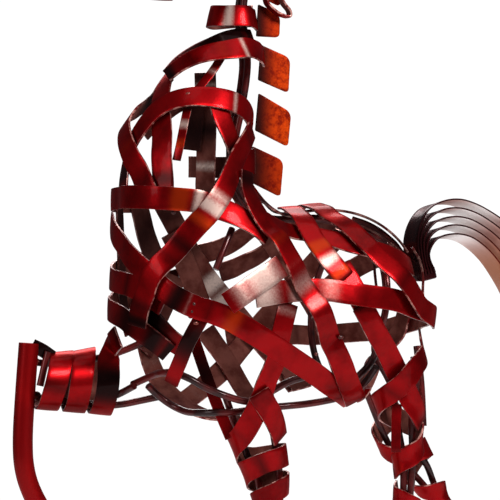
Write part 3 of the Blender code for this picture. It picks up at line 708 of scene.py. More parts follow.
def edited(*steps):
    """Runs each step in edit mode, with the whole mesh selected first."""
    bpy.ops.object.mode_set(mode="EDIT")
    for step, settings in steps:
        bpy.ops.mesh.select_all(action="SELECT")
        step(**settings)
    bpy.ops.object.mode_set(mode="OBJECT")


def cut(place, way):
    """The edit step that cuts an edge line where a plane meets the mesh, at a place in metres."""
    return bpy.ops.mesh.bisect, {"plane_co": place, "plane_no": way}


def applied(piece, kind, **settings):
    modifier = piece.modifiers.new(kind.title(), kind)
    for key, value in settings.items():
        setattr(modifier, key, value)
    bpy.context.view_layer.objects.active = piece
    bpy.ops.object.modifier_apply(modifier=modifier.name)


def eased_edges(piece, width, segments, sharper_than):
    """Rounds off the edges that turn by more than an angle in degrees."""
    angle = math.radians(sharper_than)
    applied(piece, "BEVEL", width=width * MM, segments=segments, limit_method="ANGLE", angle_limit=angle)


def smoothed(angle=40):
    bpy.ops.object.shade_smooth_by_angle(angle=math.radians(angle))


def painted(piece, name, values):
    mark = piece.data.attributes.new(name, "FLOAT", "POINT")
    mark.data.foreach_set("value", np.clip(values, 0, 1).astype(np.float32))


# The photograph's frame, and the size of one of its pixels on the drawing
PHOTO_PIXELS = 500
PIXEL = 0.42
PIXEL_LEFT = 250
PIXEL_FOOT = 690


def mark_of(px, py):
    return (PIXEL * (px - PIXEL_LEFT), PIXEL * (PIXEL_FOOT - py))


def drawn_pixels(places):
    """The points that the eye sees at places (px, py, depth) of the photograph's frame."""
    return np.array([drawn(*mark_of(px, py), y) for px, py, y in places])


STRIP_ROWS = 6
STRIP_FILL = 4
STRIP_DISH = 0.5  # a little hollow across the strip, as hammered strip has
STRIP_EASE = 0.16
END_DARK_REACH = 7.0  # how far the darkened ends, dark spray with painted shade, reach in from a strip's end
# How dark a strip's ends are made: dark spray with painted shade.
END_SMOKE_AND_SHADE = 0.5
BAND_FALL = 1.6


def strip(name, laid, nodes=(), width=STRIP_WIDTH, thick=STRIP_THICK, closed=False, slot="red_lacquer",
          skins=(RED, INSIDE, EDGE), paint=(), ends=END_SMOKE_AND_SHADE):
    """A strip of sheet iron through its laid sections, with rounded edges and a painted skin on each face."""
    middles, ups, across = laid
    widths = smooth_rows(np.broadcast_to(width, len(middles)).astype(float)[:, None], closed, STRIP_FILL)
    middles = smooth_rows(middles, closed, STRIP_FILL)
    ups = unit(smooth_rows(ups, closed, STRIP_FILL))
    across = unit(smooth_rows(across, closed, STRIP_FILL))
    if closed:
        sections = (middles, ups, across, widths)
        middles, ups, across, widths = (np.vstack([rows, rows[:1]]) for rows in sections)
    gaps = len(middles) - 1
    grid = {"x_subdivisions": gaps, "y_subdivisions": STRIP_ROWS, "size": 1.0}
    piece = new_piece(name, bpy.ops.mesh.primitive_grid_add, **grid)
    flat = points_of(piece)
    row = np.rint((flat[:, 0] + 0.5) * gaps).astype(int)
    side = flat[:, 1:2]
    points = middles[row] - across[row] * side * widths[row] - ups[row] * STRIP_DISH * side**2
    move_points(piece, points)
    reach = lengths_along(middles)
    paint_strip(piece, points, reach[row], reach[-1], paint, 0.0 if closed else ends)
    if closed:
        edited((bpy.ops.mesh.remove_doubles, {"threshold": 1e-5}))
    for material in skins:
        piece.data.materials.append(material)
    applied(piece, "SOLIDIFY", thickness=thick * MM, offset=0.0, material_offset=1, material_offset_rim=2)
    eased_edges(piece, STRIP_EASE, 2, 50)
    smoothed()
    return kept(piece, slot, *nodes)


def paint_strip(piece, points, along, length, paint, ends):
    """Bands across the strip, as (kind, px, py, reach in pixels, strength) in the photograph: dark spray with
    painted shade, orange spray and painted highlights; and dark ends.
    """
    marks = on_drawing(points)
    coats = {kind: np.zeros(len(points)) for kind in ("smoke_and_shade", "amber", "painted_highlight")}
    if ends:
        coats["smoke_and_shade"] = ends * np.clip(1 - np.minimum(along, length - along) / END_DARK_REACH, 0, 1)
    for kind, px, py, reach, strength in paint:
        nearest = np.argmin(np.linalg.norm(marks - mark_of(px, py), axis=1))
        apart = np.abs(along - along[nearest]) / (reach * PIXEL)
        coats[kind] = np.maximum(coats[kind], strength * np.exp(-BAND_FALL * apart**2))
    for kind, values in coats.items():
        painted(piece, kind, values)


BAR_SPACING = 1.8
BAR_EASE = 0.5


def bar(name, points, radius, nodes=(), slot="dark_rod", skin=ROD, closed=False):
    """A round bar bent along points."""
    curve = bpy.data.curves.new(name, "CURVE")
    curve.dimensions = "3D"
    curve.bevel_depth = radius * MM
    curve.bevel_resolution = 4
    curve.use_fill_caps = not closed
    spline = curve.splines.new("POLY")
    line = placed(evenly(np.asarray(points, float), BAR_SPACING, closed))
    spline.points.add(len(line) - 1)
    spline.points.foreach_set("co", np.hstack([line, np.ones((len(line), 1))]).ravel())
    spline.use_cyclic_u = closed
    piece = bpy.data.objects.new(name, curve)
    bpy.context.collection.objects.link(piece)
    bpy.ops.object.select_all(action="DESELECT")
    piece.select_set(True)
    bpy.context.view_layer.objects.active = piece
    bpy.ops.object.convert(target="MESH")
    piece = bpy.context.object
    piece.data.materials.clear()
    piece.data.materials.append(skin)
    if not closed:
        eased_edges(piece, min(BAR_EASE, radius * 0.3), 3, 60)
    smoothed(50)
    return kept(piece, slot, *nodes)


WELD_STRETCH = (1.15, 0.8, 0.9)
WELD_BULGE = 0.10


def weld(name, centre, size, seed):
    """A blob of weld metal, pulled out of round."""
    piece = new_piece(name, bpy.ops.mesh.primitive_ico_sphere_add, subdivisions=3, radius=1.0)
    shape = np.random.default_rng(seed)
    points = points_of(piece)
    waves = shape.normal(size=(4, 3))
    bulge = 1 + WELD_BULGE * np.sin(points @ waves.T + shape.uniform(0, 6, 4)).sum(axis=1)
    move_points(piece, centre + points * size * bulge[:, None] * WELD_STRETCH)
    piece.data.materials.append(WELD)
    bpy.ops.object.shade_smooth()
    return kept(piece, "dark_rod")


# How deep the rods lie under the body's surface, and the spacing of their points
ROD_DEPTH = ROD_RADIUS + FIT_GAP
HOOP_DEPTH = ROD_DEPTH + 2 * ROD_RADIUS + FIT_GAP
LEG_ROD_DEPTH = 3.2
ROD_STEP = 8.0
TUBE_STEP = 7.0


def inside_form(waypoints, depth, closed=False, form=body_distance):
    """A route run at a depth under the body's surface."""
    points = on_form(evenly(waypoints, ROD_STEP, closed), form)
    return points - form_normals(points, form) * depth


# Painted patches on the photograph's frame, dark spray with painted shade, orange spray and painted
# highlights: kind, px, py, reach, strength
PAINT = {
    "throat_ring": (
        ("painted_highlight", 229, 19, 6, 0.85), ("smoke_and_shade", 237, 20, 6, 0.55), ("smoke_and_shade", 219, 22, 6, 0.5),
        ("painted_highlight", 250, 17, 3, 0.5),
    ),
    "neck_dark_strip": (
        ("smoke_and_shade", 200, 45, 26, 1.0), ("smoke_and_shade", 215, 38, 26, 1.0), ("smoke_and_shade", 232, 35, 24, 1.0),
        ("smoke_and_shade", 250, 33, 20, 1.0), ("smoke_and_shade", 184, 60, 24, 1.0), ("painted_highlight", 222, 36, 6, 0.2),
    ),
    "neck_collar": (
        ("smoke_and_shade", 173, 77, 9, 0.8), ("smoke_and_shade", 196, 68, 7, 0.4), ("painted_highlight", 245, 48, 4, 0.6),
        ("amber", 225, 55, 12, 0.3),
    ),
    "neck_front_strip": (("smoke_and_shade", 157, 106, 12, 0.9), ("smoke_and_shade", 168, 180, 14, 0.6)),
    "breast_front_strip": (
        ("smoke_and_shade", 147, 108, 24, 1.0), ("smoke_and_shade", 160, 90, 22, 1.0), ("amber", 135, 137, 12, 0.35),
        ("smoke_and_shade", 148, 178, 12, 0.4),
    ),
    "neck_arch_strip": (("painted_highlight", 234, 109, 4, 0.6), ("smoke_and_shade", 250, 118, 8, 0.4)),
    "neck_inner_strip": (
        ("smoke_and_shade", 200, 128, 24, 1.0), ("smoke_and_shade", 203, 78, 10, 0.9), ("painted_highlight", 204, 168, 7, 0.55),
        ("painted_highlight", 210, 86, 5, 0.4), ("smoke_and_shade", 204, 195, 12, 0.9),
    ),
    "neck_back_strip": (("smoke_and_shade", 222, 168, 22, 0.8),),
    "chest_band": (
        ("amber", 179, 200, 12, 1.0), ("painted_highlight", 200, 203, 6, 0.9), ("smoke_and_shade", 190, 212, 5, 0.45),
        ("smoke_and_shade", 108, 205, 5, 0.4),
    ),
    "shoulder_sweep_strip": (
        ("painted_highlight", 214, 208, 8, 0.95), ("painted_highlight", 220, 196, 9, 0.55), ("amber", 203, 220, 8, 0.9),
        ("smoke_and_shade", 187, 251, 12, 0.6), ("smoke_and_shade", 176, 262, 9, 0.4), ("smoke_and_shade", 150, 312, 12, 0.55),
        ("smoke_and_shade", 141, 322, 12, 0.8), ("smoke_and_shade", 246, 130, 9, 0.4),
    ),
    "belly_sweep_strip": (
        ("smoke_and_shade", 180, 296, 14, 0.8), ("painted_highlight", 190, 302, 4, 0.3), ("amber", 237, 312, 12, 0.75),
        ("smoke_and_shade", 211, 309, 7, 0.4), ("smoke_and_shade", 112, 238, 9, 0.4), ("smoke_and_shade", 345, 392, 8, 0.4),
    ),
    "chest_strip_middle": (("amber", 114, 270, 9, 0.4), ("smoke_and_shade", 126, 296, 8, 0.5)),
    "chest_strip_low": (
        ("smoke_and_shade", 128, 322, 24, 0.7), ("smoke_and_shade", 150, 345, 20, 0.8), ("smoke_and_shade", 168, 352, 14, 0.9),
    ),
    "breast_brace": (("smoke_and_shade", 190, 340, 40, 0.75),),
    "withers_sweep_strip": (
        ("painted_highlight", 300, 285, 16, 0.42), ("painted_highlight", 288, 266, 10, 0.18), ("painted_highlight", 311, 308, 12, 0.25),
        ("smoke_and_shade", 242, 178, 14, 0.7), ("amber", 272, 243, 10, 0.4),
    ),
    "loin_strip": (
        ("painted_highlight", 328, 262, 9, 0.5), ("amber", 316, 246, 9, 0.9), ("amber", 340, 275, 7, 0.7),
        ("smoke_and_shade", 290, 212, 20, 0.85),
    ),
    "barrel_patch": (("painted_highlight", 262, 276, 30, 0.7), ("painted_highlight", 240, 292, 14, 0.5)),
    "barrel_band": (("painted_highlight", 262, 295, 24, 0.7), ("painted_highlight", 296, 292, 18, 0.5), ("painted_highlight", 330, 293, 20, 0.3)),
    "far_shoulder_strip": (
        ("painted_highlight", 213, 281, 14, 0.75), ("painted_highlight", 226, 299, 12, 0.9), ("smoke_and_shade", 165, 215, 20, 0.8),
        ("smoke_and_shade", 190, 250, 12, 0.6),
    ),
    "rump_strip": (
        ("smoke_and_shade", 308, 210, 26, 0.9), ("smoke_and_shade", 402, 282, 10, 0.4), ("smoke_and_shade", 335, 232, 9, 0.4),
        ("smoke_and_shade", 436, 322, 10, 0.6),
    ),
    "back_strip_low": (("smoke_and_shade", 262, 236, 12, 0.5), ("smoke_and_shade", 305, 250, 9, 0.5)),
    # Near-black along the back's top strip: painted shade with dark spray.
    "back_strip_top": (
        ("smoke_and_shade", 248, 190, 20, 1.0), ("smoke_and_shade", 264, 204, 18, 1.0), ("smoke_and_shade", 280, 212, 16, 0.9),
        ("smoke_and_shade", 350, 215, 16, 0.8), ("smoke_and_shade", 375, 227, 20, 1.0), ("smoke_and_shade", 400, 245, 20, 1.0),
    ),
    "croup_strip": (("smoke_and_shade", 416, 262, 26, 0.9),),
    "thigh_strip": (("smoke_and_shade", 396, 392, 10, 0.4), ("amber", 398, 470, 12, 0.3)),
    "foreleg_strip": (("painted_highlight", 286, 310, 9, 0.35), ("smoke_and_shade", 240, 436, 9, 0.3), ("smoke_and_shade", 262, 460, 9, 0.5)),
    "far_foreleg_winding": (
        ("smoke_and_shade", 112, 385, 34, 0.85), ("smoke_and_shade", 62, 408, 20, 0.6), ("smoke_and_shade", 84, 402, 14, 0.5),
        ("smoke_and_shade", 78, 365, 12, 0.5), ("smoke_and_shade", 50, 385, 12, 0.5), ("smoke_and_shade", 122, 330, 16, 0.6),
    ),
    "far_belly_strip": (("painted_highlight", 150, 360, 16, 0.2),),
    "far_rib_strip": (("painted_highlight", 195, 395, 14, 0.2),),
}
# How dark each strip's ends are made, dark spray with painted shade, where that isn't the usual
ENDS = {"neck_dark_strip": 1.0, "barrel_patch": 0.1, "barrel_band": 0.2, "neck_collar": 0.3}


def woven(name, *stretches, form=body_distance, width=STRIP_WIDTH, closed=False):
    """A strip laid along its route into the weave, that stands for the solid of the same name."""
    laid = lay(np.vstack(stretches), form, width, closed)
    paint, ends = PAINT.get(name, ()), ENDS.get(name, END_SMOKE_AND_SHADE)
    return strip(name + "_iron", laid, [name], width, closed=closed, paint=paint, ends=ends)


SPINE_SPREAD = 2.5  # half the gap between the middles of the doubled rod
SPINE_SUNK = 1.2  # how much deeper than the other rods it lies
BELLY_BEND = 2.2  # how far the belly rod bends outward, round the near foreleg's front rod
BEND_PLACE = -17.0
BEND_REACH = 9.0
HOOP_MIDDLE = (45, 160)
HOOP_RADIUS = 30
HOOP_LEAN = 4
HOOP_SUNK = 1.8


def make_rods():
    back = [
        (2.5, 288), (2.5, 278), (0.5, 262), (-2, 246), (-4, 228), (-5, 212), (8, 201), (34, 200),
        (60, 193), (71, 184),
    ]
    line = on_form(np.array([(x, -SPINE_SPREAD, z) for x, z in back], float))
    line -= form_normals(line) * (ROD_DEPTH + SPINE_SUNK)
    line[:, 1] = -SPINE_SPREAD
    line = np.vstack([
        [(-3.5, -SPINE_SPREAD, 320), (-1.5, -SPINE_SPREAD, 304)],
        line,
        [(74.4, -SPINE_SPREAD, 177)],
    ])
    loop = np.vstack([line, (line * (1, -1, 1))[::-1]])
    bar("spine_rod_iron", evenly(loop, ROD_STEP, closed=True), ROD_RADIUS, ["spine_rod"], closed=True)
    belly = [
        (-50.4, 124), (-41, 119.5), (-31.5, 116), (-21, 115), (-10.5, 115.2), (5, 116.6), (21, 118.2),
        (33, 120.2), (42, 122.8), (49, 128), (54, 134.5),
    ]
    belly = seen(belly, part=trunk_distance)
    line = inside_form(belly, ROD_DEPTH, form=trunk_distance)
    line[:, 1] -= BELLY_BEND * np.exp(-(((line[:, 0] - BEND_PLACE) / BEND_REACH) ** 2))
    bar("belly_rod_iron", line, ROD_RADIUS, ["belly_rod"])
    brace = near(
        (-49, 126), (-42, 129.5), (-37, 130.4), (-30.2, 129.2), (-23.3, 125.6), (-17.4, 122), (-10.5, 119.6),
        (-2.9, 119), (9.2, 121.5), (25.2, 128.5),
    )
    bar("breast_rod_iron", inside_form(brace, HOOP_DEPTH), ROD_RADIUS, ["breast_rod"])
    turns = np.linspace(0, 2 * math.pi, 16, endpoint=False)
    x = HOOP_MIDDLE[0] + HOOP_LEAN * np.cos(turns)
    z = HOOP_MIDDLE[1] + HOOP_RADIUS * np.cos(turns)
    hoop = np.stack([x, HOOP_RADIUS * np.sin(turns), z], axis=1)
    hoop = inside_form(hoop, HOOP_DEPTH + HOOP_SUNK, closed=True)
    bar("hip_hoop_iron", hoop, ROD_RADIUS, ["hip_hoop"], closed=True)


def make_first_strips():
    """The strips lowest in the weave, most of them on the far side."""
    woven("back_strip_low", near(
        (2.1, 198.7), (12.6, 193.6), (23.1, 190.7), (33.6, 189), (44.1, 186.1), (52.5, 184), (60.9, 181.4),
        (67.2, 177.2),
    ))
    woven("back_strip_top", near(
        (-1.7, 210.8), (5, 205.8), (13, 201.6), (21, 200.3), (27.3, 202), (39.9, 200.5), (53.8, 197.5),
        (63, 189), (68, 184.8),
    ))
    woven("neck_inner_strip", far((-18.6, 259), (-18.8, 246), (-19, 232), (-19, 218), (-18.6, 205)))
    woven("far_belly_strip", far((-45, 156), (-42, 141), (-34, 126), (-20, 117), (-4, 115)))
    woven("far_shoulder_strip", far(
        (-37.5, 207), (-31.5, 195.5), (-25.2, 183.7), (-18, 173), (-11.8, 165.5), (0, 152), (12, 138),
        (20, 127),
    ))
    woven("far_rib_strip", far(
        (-30.2, 122), (-21, 127), (-11.8, 134.4), (-4.2, 142.8), (5, 153.3), (16, 166), (28, 180), (40, 192),
    ))
    woven("far_rump_strip", far((30, 166), (39.9, 174.3), (51.2, 180.6), (60, 184)))
    woven("far_neck_arch", far(
        (-44, 233), (-38.6, 239.4), (-31.5, 244.9), (-25.2, 247.8), (-19.7, 248.4), (-12.6, 247.3), (-6, 244),
    ))
    woven("far_withers_sweep", far(
        (-8, 212), (-1.7, 202.4), (5, 194), (11.8, 184.8), (18.5, 174.7), (24.8, 165.5), (30.7, 154.6),
        (35.7, 142.8), (39.9, 131),
    ))
    woven("far_shoulder_sweep", far(
        (-8, 228), (-10.1, 215.5), (-15.5, 205.8), (-19.7, 198.2), (-25.2, 191.1), (-31.5, 182.7),
        (-37.8, 174.3), (-43, 166), (-46, 158),
    ))
    woven("neck_back_strip", far((-27, 219.7), (-16, 219.7), (-8, 220), (-3, 220.5)))


def make_near_strips():
    """The strips seen on the near side, from the lowest in the weave to the top one."""
    brace = near((-20.5, 156), (-25.4, 147), (-29.6, 137), (-32.6, 129.5))
    woven("breast_brace", brace, width=BRACE_WIDTH)
    woven(
        "foreleg_strip",
        near(
            (15.5, 162.5), (12.6, 151.2), (10.9, 142), (7.6, 132.3), (2.1, 117.6), (-2.1, 108.5),
            (-6.5, 101.5),
        ),
        far((0, 97.5), (8, 98), (14, 99)),
        near((14, 98.5), (6, 95.8), (-1.5, 92)),
        far((1, 88.5), (8, 87.5), (14, 87.5)),
        near((15, 86.5), (10, 83.5), (4, 79.5)),
        far((5, 76.5), (10, 75), (14, 75)),
        near((14.5, 74), (9, 71), (4.5, 68)),
    )
    woven("foreleg_inner_strip", near((2.5, 126), (5.5, 119.7), (9.2, 111.3), (11.2, 105.5)))
    woven("flank_strip", near(
        (46.6, 161.7), (52.5, 150.4), (58, 140.7), (63, 131), (67.2, 121.8), (71, 112.1),
    ))
    woven("croup_strip", near((67.2, 185.6), (70.6, 177.2), (73.5, 169.3), (75.2, 161.7)))
    woven(
        "chest_strip_low",
        near((-33.6, 142), (-39.9, 147), (-47, 152), (-54.6, 157.5)),
        far((-50, 164), (-40, 168), (-28, 172)),
    )
    woven(
        "chest_strip_middle",
        near((-35.7, 161.7), (-44.1, 167.2), (-51.2, 170.5), (-57.5, 172.6)),
        far(
            (-53, 177), (-40, 179), (-28, 180), (-16, 182.7), (-6.3, 186.9), (3.4, 191.1), (16, 195),
            (34, 193), (48, 187.5), (60, 179),
        ),
    )
    woven(
        "belly_sweep_strip",
        near(
            (-59.2, 196.6), (-51.7, 186.1), (-42.8, 176.4), (-33.6, 167.2), (-23.1, 161.3), (-11.8, 157.5),
            (0, 150.8), (10.5, 144.1), (23.1, 136.1), (33.6, 128.5), (41, 123.2),
        ),
        far((46, 126), (51.2, 134), (58.8, 147), (63.8, 157.5), (66, 168)),
    )
    woven("neck_front_strip", near(
        (-32, 259.5), (-35.2, 254.2), (-36.8, 247.8), (-36.6, 240), (-36.4, 232), (-36.4, 223), (-36.0, 213),
        (-35.8, 206),
    ))
    woven("neck_arch_strip", near(
        (-49, 226.5), (-45, 232.3), (-38.9, 239.7), (-31.9, 244.7), (-25.4, 247.4), (-19.7, 248.4),
        (-12.6, 247.8), (-5, 245.3), (-1, 240.7), (0.5, 234.9),
    ))
    woven(
        "breast_front_strip",
        far((-32.5, 257.5), (-37.5, 251.8), (-42, 246)),
        near((-46.7, 240.5), (-48.6, 233.8), (-48, 227.6), (-45.2, 219.8), (-42.4, 213), (-39.8, 206.5)),
    )
    woven(
        "chest_band",
        near(
            (6.3, 189), (-2.1, 195.7), (-10.5, 200.8), (-14.7, 202.4), (-19.7, 204.5), (-26, 205.8),
            (-35.7, 206.6), (-47.5, 206.9), (-58.3, 205.8),
        ),
        far((-54, 205), (-45, 205)),
    )
    woven("shoulder_sweep_strip", near(
        (-1.7, 235.2), (-5.5, 224.7), (-10.1, 215.5), (-15.5, 205.8), (-19.7, 198.2), (-25.2, 191.1),
        (-31.5, 182.7), (-37.8, 174.3), (-40.7, 167.2), (-42.8, 160), (-44.2, 153),
    ))
    woven("loin_strip", near((16, 200.3), (21.8, 193.2), (27.7, 184.8), (33.6, 178.5), (39.9, 172.2)))
    woven(
        "barrel_band",
        near((1.0, 165.2), (14.7, 167.2), (28.1, 167.2), (44.1, 165.5), (58.8, 163.8), (69.3, 160)),
        far((67, 156), (52.5, 151.6), (37.8, 151.2), (21, 150.4), (6.3, 150.4), (-8, 149)),
    )
    woven("barrel_patch", near((10, 177), (0, 169.5), (-10.5, 162.2)))
    woven(
        "rump_strip",
        far((-12.2, 174.3), (-2.1, 177.7), (7.1, 181.5), (15, 189), (20, 197)),
        near(
            (26, 202.4), (33.6, 197.4), (42, 191.1), (50.4, 182.7), (58.8, 173), (65.1, 165.1), (69.5, 159.5),
            (72.6, 156.6),
        ),
    )
    woven(
        "thigh_strip",
        near((73.8, 150), (71.4, 144.4), (67.2, 136.5), (63, 129.5)),
        on_leg("near_hind", (59.5, 124.5), (57.6, 119.5)),
        behind_leg("near_hind", (60, 115.5), (66, 112), (70.5, 109)),
        on_leg("near_hind", (71.6, 104.5), (67.5, 99), (61.5, 94.2)),
        behind_leg("near_hind", (61.5, 92.5)),
    )
    woven("withers_sweep_strip", near(
        (-4.2, 217.6), (-4.2, 212.1), (-1.9, 202), (4, 192.8), (10.2, 182.8), (16.6, 173), (23.2, 163.8),
        (29.8, 153.4), (35.4, 142), (39.9, 131), (42.8, 123.9),
    ))
    woven("neck_dark_strip", near(
        (0.5, 272.6), (-6, 272.8), (-12.5, 271.4), (-18.8, 268.6), (-24, 265), (-29, 261), (-32.5, 257.2),
    ))
    woven("neck_collar", near(
        (4.8, 265.4), (0, 267.1), (-5, 267.3), (-10.6, 265.6), (-16, 264.4), (-23.1, 261), (-29.5, 256.8),
        (-32.4, 254.6),
    ))
    woven(
        "throat_ring",
        near((1.0, 280.6), (-5, 281.2), (-12, 281.4)),
        far((-12, 282), (-5, 283), (1, 283)),
    )


TURN_STEPS = 12


def coil_route(balls, turns, start_turn, begin, spare):
    """A route that winds about a limb, from begin past its first ball to spare short of its last."""
    centres = np.array([centre for centre, _ in balls])
    radii = np.array([radius for _, radius in balls])
    reach = lengths_along(centres)
    count = round(abs(turns) * TURN_STEPS)
    places = np.linspace(begin, reach[-1] - spare, count + 1)
    axis = np.stack([np.interp(places, reach, column) for column in centres.T], axis=1)
    radius = np.interp(places, reach, radii)
    run = tangents(axis)
    side = unit(np.cross(run, [0.0, 1.0, 0.0]))
    front = np.cross(side, run)
    turn = 2 * math.pi * (start_turn + turns * np.arange(count + 1) / count)
    return axis + radius[:, None] * (np.cos(turn)[:, None] * front + np.sin(turn)[:, None] * side)


HOOF_HEIGHT = 12.0
HOOF_HALF_LENGTH = 10.5
HOOF_HALF_WIDTH = 9.0
HOOF_SET_BACK = 1.8
HOOF_EASE = 0.7
HOOF_LEVELS = (0, 0.25, 0.7, 0.86, 1.0)
HOOF_SIZES = (1.0, 0.98, 0.80, 0.775, 0.70)


def hoof(name, foot, swing=0.0):
    """A hoof with a flat sole, narrower at the top and leaning back, swung about Y by swing."""
    add = bpy.ops.mesh.primitive_cylinder_add
    piece = new_piece(name + "_iron", add, vertices=48, radius=1.0, depth=1.0, end_fill_type="NGON")
    edited(*(cut((0, 0, level - 0.5), (0, 0, 1)) for level in HOOF_LEVELS[1:-1]))
    points = points_of(piece).astype(float)
    level = points[:, 2] + 0.5
    size = np.interp(level, HOOF_LEVELS, HOOF_SIZES)
    x = points[:, 0] * size * HOOF_HALF_LENGTH + HOOF_SET_BACK * level
    y = points[:, 1] * size * HOOF_HALF_WIDTH
    z = level * HOOF_HEIGHT
    ahead = x * math.cos(swing) - z * math.sin(swing)
    up = z * math.cos(swing) + x * math.sin(swing)
    move_points(piece, np.stack([ahead, y, up], axis=1) + foot)
    piece.data.materials.append(TUBE)
    eased_edges(piece, HOOF_EASE, 3, 28)
    smoothed()
    return kept(piece, "red_lacquer", name)


ROD_LEAN = 1.6  # how far a rod's end stands off the tube's middle
ROD_SUNK = 7.0  # how deep it reaches into the tube


def leg_frame(name, tube, rods):
    """A leg's tube, with the rods that run up from its top into the body."""
    bar(name + "_shin", evenly(tube, TUBE_STEP), TUBE_RADIUS, [name], "red_lacquer", TUBE)
    top = tube[0]
    down = unit(tube[1] - top)
    for number, line in enumerate(rods):
        lean = unit(line[-1] - top) * ROD_LEAN
        line = np.vstack([line, top + down + lean, top + down * ROD_SUNK + lean * 0.7])
        bar(f"{name}_rod_{number}", evenly(line, ROD_STEP), ROD_RADIUS)
    weld(name + "_weld", top + down * 1.5, TUBE_RADIUS * 1.05, len(name))


def standing_leg(name, foot, below):
    """A leg's frame, from two rods inside the body to the hoof at foot, through the given points."""
    balls = LEG_FORMS[name]
    rods = []
    for side in (-1, 1):
        rods.append(np.array([centre + side * (radius - LEG_ROD_DEPTH) * ALONG for centre, radius in balls]))
    landing = np.array(foot) + (HOOF_SET_BACK, 0, HOOF_HEIGHT + FIT_GAP)
    tube = np.vstack([balls[-1][0] + (0, 0, 4), below, landing + (0, 0, 5), landing])
    leg_frame(name + "leg_tube", tube, rods)
    hoof(name + "_hoof", foot)


RAISED_DEPTH = 20  # how deep the raised foreleg lies
# The knee's rods end this far above and below its middle
KNEE_HEIGHT = 131
KNEE_SPREAD = 7
KNEE_BEAD = 2.4


def make_legs():
    standing_leg("near_fore", (-18.0, -2.0, 0.0), [(4, -13, 60), (-9, -7, 32), (-14, -3.8, 24)])
    standing_leg("near_hind", (56.0, -24.0, 0.0), [(60.5, -24, 50), (60, -24, 36), (58.5, -24, 25)])
    standing_leg("far_hind", (101.0, 23.0, 0.0), [(104, 23, 48), (104.5, 23, 36), (104, 23, 25)])
    woven(
        "near_hindleg_winding",
        behind_leg("near_hind", (63, 84)),
        on_leg("near_hind", (60.8, 82.6), (65, 79), (69.6, 75.5)),
        behind_leg("near_hind", (70, 73.5), (65, 71.5), (60.5, 70)),
        on_leg("near_hind", (60, 69)),
    )
    woven("far_hindleg_winding", coil_route(LEG_FORMS["far_hind"], -2.15, 1.15, 17.0, 15.0))

    cannon = drawn_marks((
        (-92.9, 145.7), (-94.4, 125), (-95.4, 107), (-95.0, 95), (-92.8, 86), (-88.5, 77), (-82, 68),
        (-76, 60),
    ), RAISED_DEPTH)
    tube = evenly(cannon, TUBE_STEP)
    bar("far_foreleg_shin", tube, TUBE_RADIUS, ["far_foreleg_tube"], "red_lacquer", TUBE)
    for side, lift in (("upper", 1), ("lower", -1)):
        height = KNEE_HEIGHT + lift * KNEE_SPREAD
        line = [centre + (0, 0, lift * (radius - LEG_ROD_DEPTH)) for centre, radius in LEG_FORMS["far_fore"]]
        line.append(drawn(-92.5, height, RAISED_DEPTH))
        bar(f"far_foreleg_rod_{side}", evenly(np.array(line), ROD_STEP), ROD_RADIUS)
        bead = drawn(-91.0, height, RAISED_DEPTH)
        weld(f"far_foreleg_weld_{side}", bead, KNEE_BEAD, 31 + lift)
    woven(
        "far_foreleg_winding",
        near((-52.6, 149), (-55.6, 145.8), (-58, 142), (-59.4, 136.5), (-59.8, 128), (-62, 119)),
        behind_leg("far_fore", (-64, 119), (-66.4, 129), (-68.6, 138.5)),
        near((-69.4, 140), (-71.2, 129.5), (-73.4, 119)),
        behind_leg("far_fore", (-74.6, 120), (-76.6, 129.5), (-78.4, 138.5)),
        near((-79, 139.5), (-81.4, 129.5), (-84.4, 120.5)),
        behind_leg("far_fore", (-86, 123)),
    )
    run = unit(cannon[-1] - cannon[-2])
    swing = -math.atan2(run[0], -run[2])
    lean = np.array([math.cos(swing), 0, math.sin(swing)])
    hoof("far_fore_hoof", cannon[-1] + run * (HOOF_HEIGHT + FIT_GAP) - lean * HOOF_SET_BACK, swing)


MANE_THICK = 1.0
MANE_EASE = 0.25
MANE_CUTS = 1.5  # spacing of the edge lines that carry the spray
MANE_MARGIN = 1.2
MANE_CORNERS = (0.5, 3.2, 2.0, 0.5)
# How far out the neck's dark spray reaches on each plate, and how orange its rim is
MANE_SMOKE = (1.0, 0.95, 0.75, 0.7, 1.1)
MANE_AMBER = (0.1, 0.3, 0.6, 0.8, 0.4)
# Corners of the mane's plates on the drawing: inner top, outer top, outer bottom, inner bottom
MANE_PLATES = (
    ((2.6, 303.0), (13.5, 298.5), (12.6, 287.0), (3.0, 291.5)),
    ((3.4, 288.0), (12.6, 283.6), (12.2, 274.0), (2.6, 274.5)),
    ((4.6, 270.9), (16.8, 265.4), (16.0, 250.7), (3.4, 256.2)),
    ((3.6, 250.6), (17.2, 242.5), (15.8, 228.1), (2.2, 235.0)),
    ((0.9, 228.4), (13.9, 222.3), (12.6, 207.1), (-0.4, 213.6)),
)


def rounded(points, radii):
    """A flat outline with its corners rounded by short arcs."""
    out = []
    for i, (corner, radius) in enumerate(zip(points, radii)):
        start = corner + unit(points[i - 1] - corner) * radius
        end = corner + unit(points[(i + 1) % len(points)] - corner) * radius
        for t in np.linspace(0, 1, 3 if radius < 1 else 9):
            out.append((1 - t) ** 2 * start + 2 * t * (1 - t) * corner + t**2 * end)
    return np.array(out)


def mane_cuts(outline):
    """Edge steps for lines across a plate, both ways."""
    steps = []
    for way, spread, middle in (((1, 0, 0), outline[:, 0], MIDDLE_X), ((0, 0, 1), outline[:, 2], 0.0)):
        for place in np.arange(spread.min() + MANE_MARGIN, spread.max() - MANE_MARGIN / 2, MANE_CUTS):
            steps.append(cut(tuple((place - middle) * MM * np.array(way)), way))
    return steps


